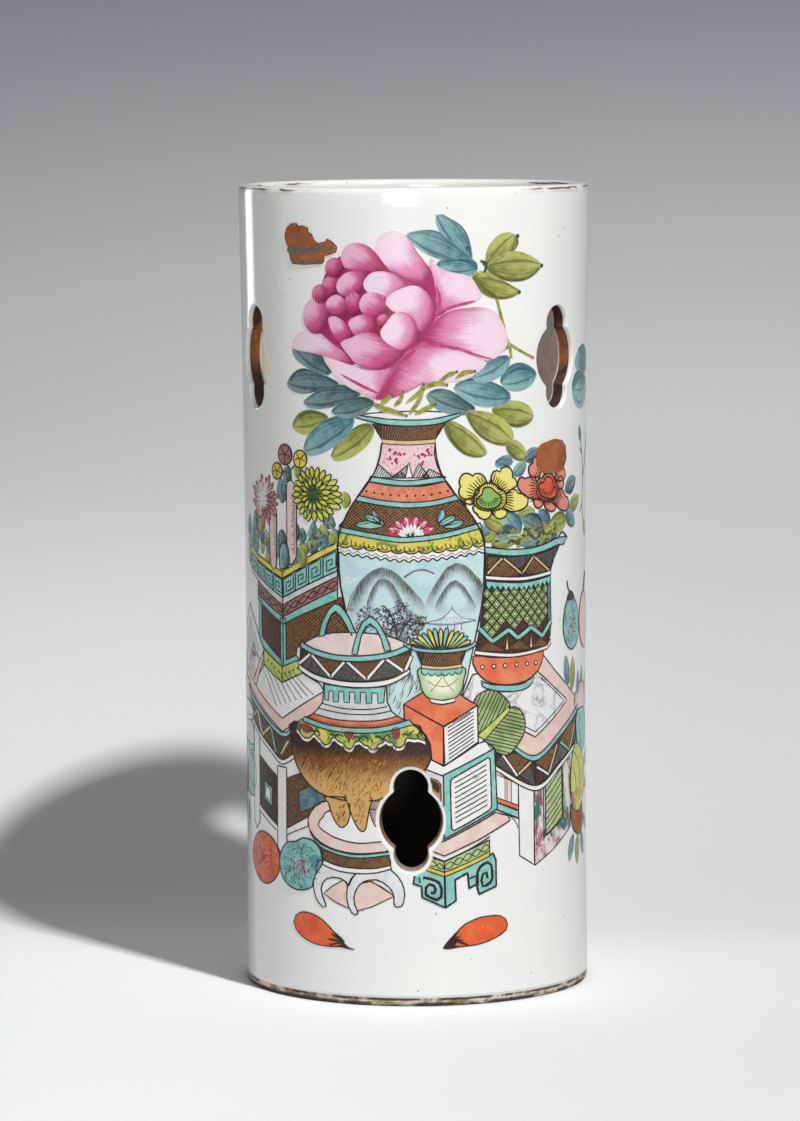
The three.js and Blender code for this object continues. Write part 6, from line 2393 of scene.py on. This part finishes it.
# %% Fruit and seeds
def paint_fruit():
    fruit = Painting("fruit_and_seeds", 0.12)
    fruit.fill("persimmon", at("-77.5,49 -75,53.5 -70,56.3 -65,56.5 -60,54.8 -57,52 -55.6,48 -56.5,43.5 "
                               "-60,40 -65,38.3 -71,39.5 -76,43.5"), 0,
               ink=0.45)
    fruit.fill("mottle_fruit", at("-55.8,48 -54,52.5 -51,55 -47,55.6 -43.5,57.2 -39,56.6 -36,54 -34.4,50 "
                                  "-37,46 -38.8,43 -39.4,40.3 -44,38.6 -49,39 -54,42"), 1, ink=0.45)
    for _ in range(420):
        out, turn = 8.4 * math.sqrt(hand.random()), hand.uniform(0, 2 * math.pi)
        spot = (-45 + 1.05 * out * math.cos(turn), 47.4 + out * math.sin(turn))
        pen = "magenta_line" if out < hand.uniform(2.4, 5.2) else "teal_dot"
        if spot[0] < -41.5 or spot[1] > 43 or out < 5:
            fruit.dot(spot, hand.uniform(0.14, 0.27), 2, pen)
    for _ in range(60):
        fruit.dot((-66 + hand.gauss(0, 3.6), 47.6 + hand.gauss(0, 3.2)), hand.uniform(0.14, 0.26), 2,
                  "brown_line")
    for outline, tail, flames in (
            ("-48.2,26.8 -47.2,29.2 -45,30.6 -42,31 -38.5,30.4 -35.5,29.2 -33,27.4 -30.6,25.2 -28.4,23 "
             "-26.8,21.2 -26.4,20.4 -28.5,20 -32,19.8 -36,19.9 -40,20.6 -44,22.2 -47,24.4",
             "-22.6,19.4 -24.6,19.9 -26.8,21.6 -28.6,23.6 -28,22 -27.4,20.8 -29.6,20 -27,19.9 -24.6,19.5",
             ((-31.6, 24.4), (-33, 22.4), (-32.4, 20.3), (-31, 25.4))),
            ("9.4,20.4 11,22.4 13.2,24.8 14.8,26.9 17,28.6 19.8,29.8 23,30.6 27,30.8 30.2,30.5 32.2,29.2 "
             "33,27.2 32.4,25.4 30.4,24 27,22.6 23,21.4 19,20.8 14,20.6 11,20.1",
             "8.8,20.3 10,22 12,24.2 13.6,25.6 13,23.8 13.6,22.2 13,21 15.4,20.7 12,20.1 10,20",
             ((14.6, 26.4), (15, 24.2), (16, 22.8), (18, 21)))):
        fruit.fill("seed_red", at(outline), 0, ink=0.36)
        fruit.fill("ink", at(tail), 1, False, 0.2)
        root = between(at(tail)[3], at(tail)[0], 0.4)
        for end in flames:
            fruit.line([root, between(root, end, 0.5), end], 0.7, 1, False, True)
    fruit.fill("mottle_fruit", at("69,121 64.4,123.4 62.2,129 63.2,135 66,139.4 70.6,139.2 74.4,135.4 76,129 "
                                  "74.6,123.6"), 0, ink=0.45)
    fruit.fill("ink", at("65,139.2 68,141.8 71,139.4 68,138.6"), 1, ink=0.3)
    fruit.line(at("67.6,141 65.6,143.4 65.2,145.6"), 0.5, 1)
    fruit.fill("pale_pink", at("84,120 78.6,123.4 76.8,129.6 78,136 82,140 87.6,139 91.4,134 91.6,127 "
                               "88.6,121.6"), 0, ink=0.45)
    fruit.line(at("84,140 85.4,144 87.4,147"), 0.6, 1)
    for spot in at("70.4,130 71.6,131.6 69.4,131.4 70.4,128.4 72,129.8 68.8,129.4 70.8,133 71.4,127"):
        fruit.dot(spot, 0.42, 1, "magenta_line")
    for i in range(70):
        spot = (69 + hand.gauss(0, 2.6), 130 + hand.gauss(0, 3.4))
        fruit.dot(spot, hand.uniform(0.12, 0.26), 1, "magenta_line" if i % 2 else "ink")
    fruit.wrap_up()


paint_fruit()

# %% [markdown]
# The table at the right carries the jardinière. Its top is marble with grey veins and double lines, and
# a pair of striped leaves leans on the box before it.

# %% The right table and the striped leaves
def paint_table_top(table):
    table.fill("pale_pink", at("50,121 57,114.6 66,108 75.6,101.8 75,99.4 60,92.4 46,84.6 35,89.6 30,92 "
                               "16,104 20,116"), 0, False, 0.42)
    table.fill("marble", at("47.4,115.2 56,109 65,103.4 56,98 46,92.2 40,95 30,100 16,108 20,116 40,118"), 1,
               False, 0.42)
    table.line(at("48.6,113 62.6,103.4 46,94 41.4,96.2"), 0.34, 1, False)
    table.band("turquoise", at("35.4,90.6 46,85.7 60,92.9 75,100.9"), at("35.6,88.8 46,83.8 60,91 74.6,98.8"),
               2, 0.4)


def paint_table_apron(table):
    apron = at("28.4,91.8 35.6,88.8 46,83.8 60,91 74.6,98.8 74.4,92 72.4,87 46,74 28.4,82.6")
    table.fill("brown", apron, 0, False, 0.42)
    for outline, pen, angle in (("32,87 38,80 43.6,83.4 40,87", "ochre", 55),
                                ("46,83 53,79.4 58,88 52,86.4", "ochre", 60),
                                ("60,89 67,86.2 71.6,94.6 66,94", "ochre", 60),
                                ("29,84 31.4,86.6 37.4,79.4", "ink", 45),
                                ("54,79.6 60,88 66.4,85.4", "ink", 50),
                                ("43,83 46,74.8 38.8,79.6", "ink", 50)):
        if pen == "ink":
            table.fill("grey_line", at(outline), 1, False, 0.0)
        table.hatch(at(outline), angle, 0.66, 0.24, 1, pen)
    bars(table, [("white", (30.8, 88), (37.6, 79.2)), ("cream", (38, 79.8), (43.8, 83.6)),
                 ("white", (46.6, 81.6), (53, 78.2)),
                 ("cream", (53, 78.6), (58, 88.4)), ("turquoise", (60, 89), (67, 85.2)),
                 ("cream", (67, 85.8), (71.4, 94))], 2)
    table.line(at("46,84 46,74"), 0.36, 2)
    table.band("white", at("28.4,83.6 46,75 60,81.8 73,88"), at("28.4,82 46,73.2 60,80 72.6,86.2"), 3, 0.4)


def paint_table_legs(table):
    table.fill("white", at("28.8,80.6 38,76.4 38,64 28.8,68"), 0, False, 0.36)
    table.line(at("32.4,79.4 32.4,70.6"), 0.3, 0)
    table.fill("pale_pink", at("33.2,79 35,78.2 35,68.6 33.2,69.6"), 0, False, 0.3)
    table.fill("coral", at("28.8,72.4 38,68.8 38,67.2 28.8,70.8"), 1, False, 0.32)
    table.fill("turquoise", at("28.8,70.6 38,66.8 38,64.4 28.8,68.2"), 1, False, 0.36)
    table.line(at("33.6,66 36.6,63.4 37.8,61"), 0.34, 0)
    table.fill("brocade", at("45.2,74 56,78.8 67.4,84 67.4,58 56,51.6 45.4,46.8"), 0, False, 0.42)
    table.fill("white", at("38,78 45.2,74.4 45.2,47 38.4,51"), 0, False, 0.42)
    inset = at("51,75.4 60.8,80 61.2,62 51.2,57")
    table.fill("lattice_green", inset, 2, False, 0.42)
    table.hatch(inset, 38, 1.85, 0.36, 2)
    table.line(at("50,75 50.2,56.2 61.8,61.8 61.6,80.4"), 0.42, 2, False)


def paint_striped_leaves(table):
    behind = at("20.6,107 24,109.9 28,110.2 32,107.7 34.7,104 33,102.6 28.4,98.6 23.8,94.4 21.2,96 20.6,101.4")
    before = at("24,93 29,98 34,103.2 38,103.2 40.7,99.6 40.9,95 38,90.6 33.4,87 27.4,89.2")
    for outline, angle in ((behind, 62), (before, 165)):
        table.fill("stripe_green", outline, 4, True, 0.45)
        table.hatch(outline, angle, 1.3, 0.3, 4)
    table.fill("yellow_green", at("21.6,94.6 24.4,93 34.4,102.6 33.8,104"), 5, False, 0.32)
    table.fill("brown", at("24.4,92.8 28.6,88.8 29.4,86.4 27.4,88.8"), 5, False, 0.3)


def paint_right_table():
    table = Painting("right_table", -0.03)
    paint_table_top(table)
    paint_table_apron(table)
    paint_table_legs(table)
    paint_striped_leaves(table)
    table.wrap_up()


paint_right_table()

# %% [markdown]
# Round the two sides the scene runs out into a few more things: leaves, a citron and a cup stack. The
# photograph shows only their front halves, so their far halves are completed plainly.

# %% The side clusters
def paint_far_right():
    side = Painting("right_side_fruit")
    leaf_spray(side, [("blue_leaf", (66, 108), (64, 119.4), 0.2), ("olive_leaf", (69, 106), (70, 118.4), 0.2),
                      ("blue_leaf", (74.6, 104), (75.4, 113), 0.2),
                      ("dark_leaf", (79, 104), (81, 114), 0.2), ("olive_leaf", (84, 103), (88, 112), 0.2)])
    side.fill("mottle_pink", at("73,99 71.4,102.6 74,106 79,108.4 84,107 87,102.6 85,98.6 79,96.6"), 1,
              ink=0.42)
    side.fill("turquoise", at("74.4,98 73,93.4 74.6,86.4 79,83.4 84,85 87,90.6 86.4,96.4 81,99"), 2, ink=0.42)
    side.line(at("77,97.6 76.4,92 78.6,86"), 0.34, 2)
    side.fill("mottle_citron", at("71.6,86.8 68.4,80 67.6,72 69.4,65 74,62.4 79.6,65.6 83.4,72 83,79 "
                                  "78.4,84.8"), 3, ink=0.42)
    side.line(at("71,84 75.4,79.6 77.4,72.6 76,66.4"), 0.4, 3)
    side.line(at("69.6,79 72.4,74 72.6,67.6"), 0.3, 3)
    side.fill("leather_brown", at("68.6,66 68,60.6 70.4,56 76,54 80.4,57 80.6,62.6 78,66.4 73,64"), 2,
              ink=0.42)
    leaf_spray(side, [("teal_leaf", (70, 55), (66, 45.4), 0.22), ("olive_leaf", (74, 54), (73.4, 43.4), 0.22),
                      ("blue_leaf", (78, 55), (81.6, 46), 0.22),
                      ("teal_leaf", (82, 60), (89, 54.6), 0.24), ("olive_leaf", (84, 70), (92, 73), 0.24),
                      ("teal_leaf", (84, 78), (91, 84), 0.24)])
    for run in ("77.4,196 80.6,189 82,181 81,172 83.4,165", "82,181 86,186 88,192", "81,172 77.6,169",
                "80.6,189 77,192"):
        side.line(at(run), 0.5, 0, taper=True)
    leaf_spray(side, [("dark_leaf", (88, 190), (92, 197), 0.26), ("olive_leaf", (83, 166), (88, 160), 0.26),
                      ("dark_leaf", (78, 194), (75.4, 200), 0.24)], 1)
    side.wrap_up()


def paint_far_left():
    side = Painting("left_side_cups", 0.0)
    side.fill("mottle_blue", at("-84,68.6 -86.6,73 -86.4,79 -83,83 -77.6,83 -74.4,79.4 -74,73 -76.6,68.4"), 0,
              ink=0.42)
    side.fill("lattice_green", at("-83.4,83 -77.4,83 -77.8,85.4 -83,85.4"), 1, False, 0.36)
    side.band("turquoise", at("-92,89 -82,86.2 -76,86.8"), at("-91.4,86.6 -82,84 -76,84.6"), 2, 0.4)
    side.fill("grey_white", at("-92,89 -82,86.4 -76,87 -75.6,90.4 -79,94.6 -88,95.4 -93,93"), 1, ink=0.42)
    side.fill("white", at("-97,98.6 -90,95.4 -80,95 -75.8,96.6 -76,98.4 -82,101.4 -90,102 -96,100.6"), 2,
              ink=0.42)
    side.line(at("-94.6,98.8 -88,96.8 -80,96.8"), 0.3, 2)
    side.fill("pale_pink", at("-92,102 -84,101.6 -80.6,103.6 -82,108.4 -88,110 -93,107"), 1, ink=0.42)
    side.fill("persimmon", at("-93.6,74 -90,77.6 -86.6,77 -85.6,72.6 -88,68.6 -92,69"), 0, ink=0.42)
    leaf_spray(side, [("teal_leaf", (-90, 110), (-95, 118), 0.24),
                      ("olive_leaf", (-87, 110), (-88, 120), 0.22),
                      ("dark_leaf", (-93, 104), (-100, 109), 0.24),
                      ("olive_leaf", (-88, 66), (-92, 58), 0.24), ("teal_leaf", (-84, 66), (-82.6, 57), 0.22),
                      ("dark_leaf", (-94, 80), (-101, 84), 0.24)], 1)
    side.wrap_up()


paint_far_right()
paint_far_left()

# %% [markdown]
# Two brown patches lie over the decoration, flat and raised above the films round them. The one at the
# upper left is broken at its edge and has two grey-green stripes.

# %% The brown patches
def paint_patches():
    patches = Painting("brown_patches", 0.25)
    patches.fill("leather_brown", at("-49,268 -48.2,270.5 -46,272.2 -43.5,272.4 -42.6,271.4 -41,271.6 "
                                     "-38.5,270.9 -38.4,269.6 -37,268.8 -36,266.8 -34.5,265.6 -31.5,266.2 "
                                     "-30.6,267.2 -28.8,266.2 -27,264.5 -27.4,262.9 -29.5,262 -32,261.4 "
                                     "-32.2,259.4 -33,258.7 -40,258.3 -45.5,258.5 -46.4,260 -47,263 "
                                     "-48.6,266.4"), 0, False, 0.3, pen="brown_line")
    patches.fill("patch_stripe", at("-47.4,264.4 -40,264.2 -33,264.8 -28.2,264.6 -28.4,263.4 -34,262.8 "
                                    "-40,261.8 -47,261.8"), 1, ink=0.0)
    patches.fill("patch_stripe", at("-46.2,260.4 -40,259.8 -33.2,260.2 -33,258.8 -40,258.4 -45.4,258.6"), 1,
                 False, 0.0)
    patches.fill("leather_brown", at("46.5,193 49,195.1 56,196.4 61,195.7 63.4,193.5 64.1,189 62,185.3 "
                                     "57,184.3 50,184.8 46.4,187.5"), 0, False, 0.0)
    patches.wrap_up()


paint_patches()
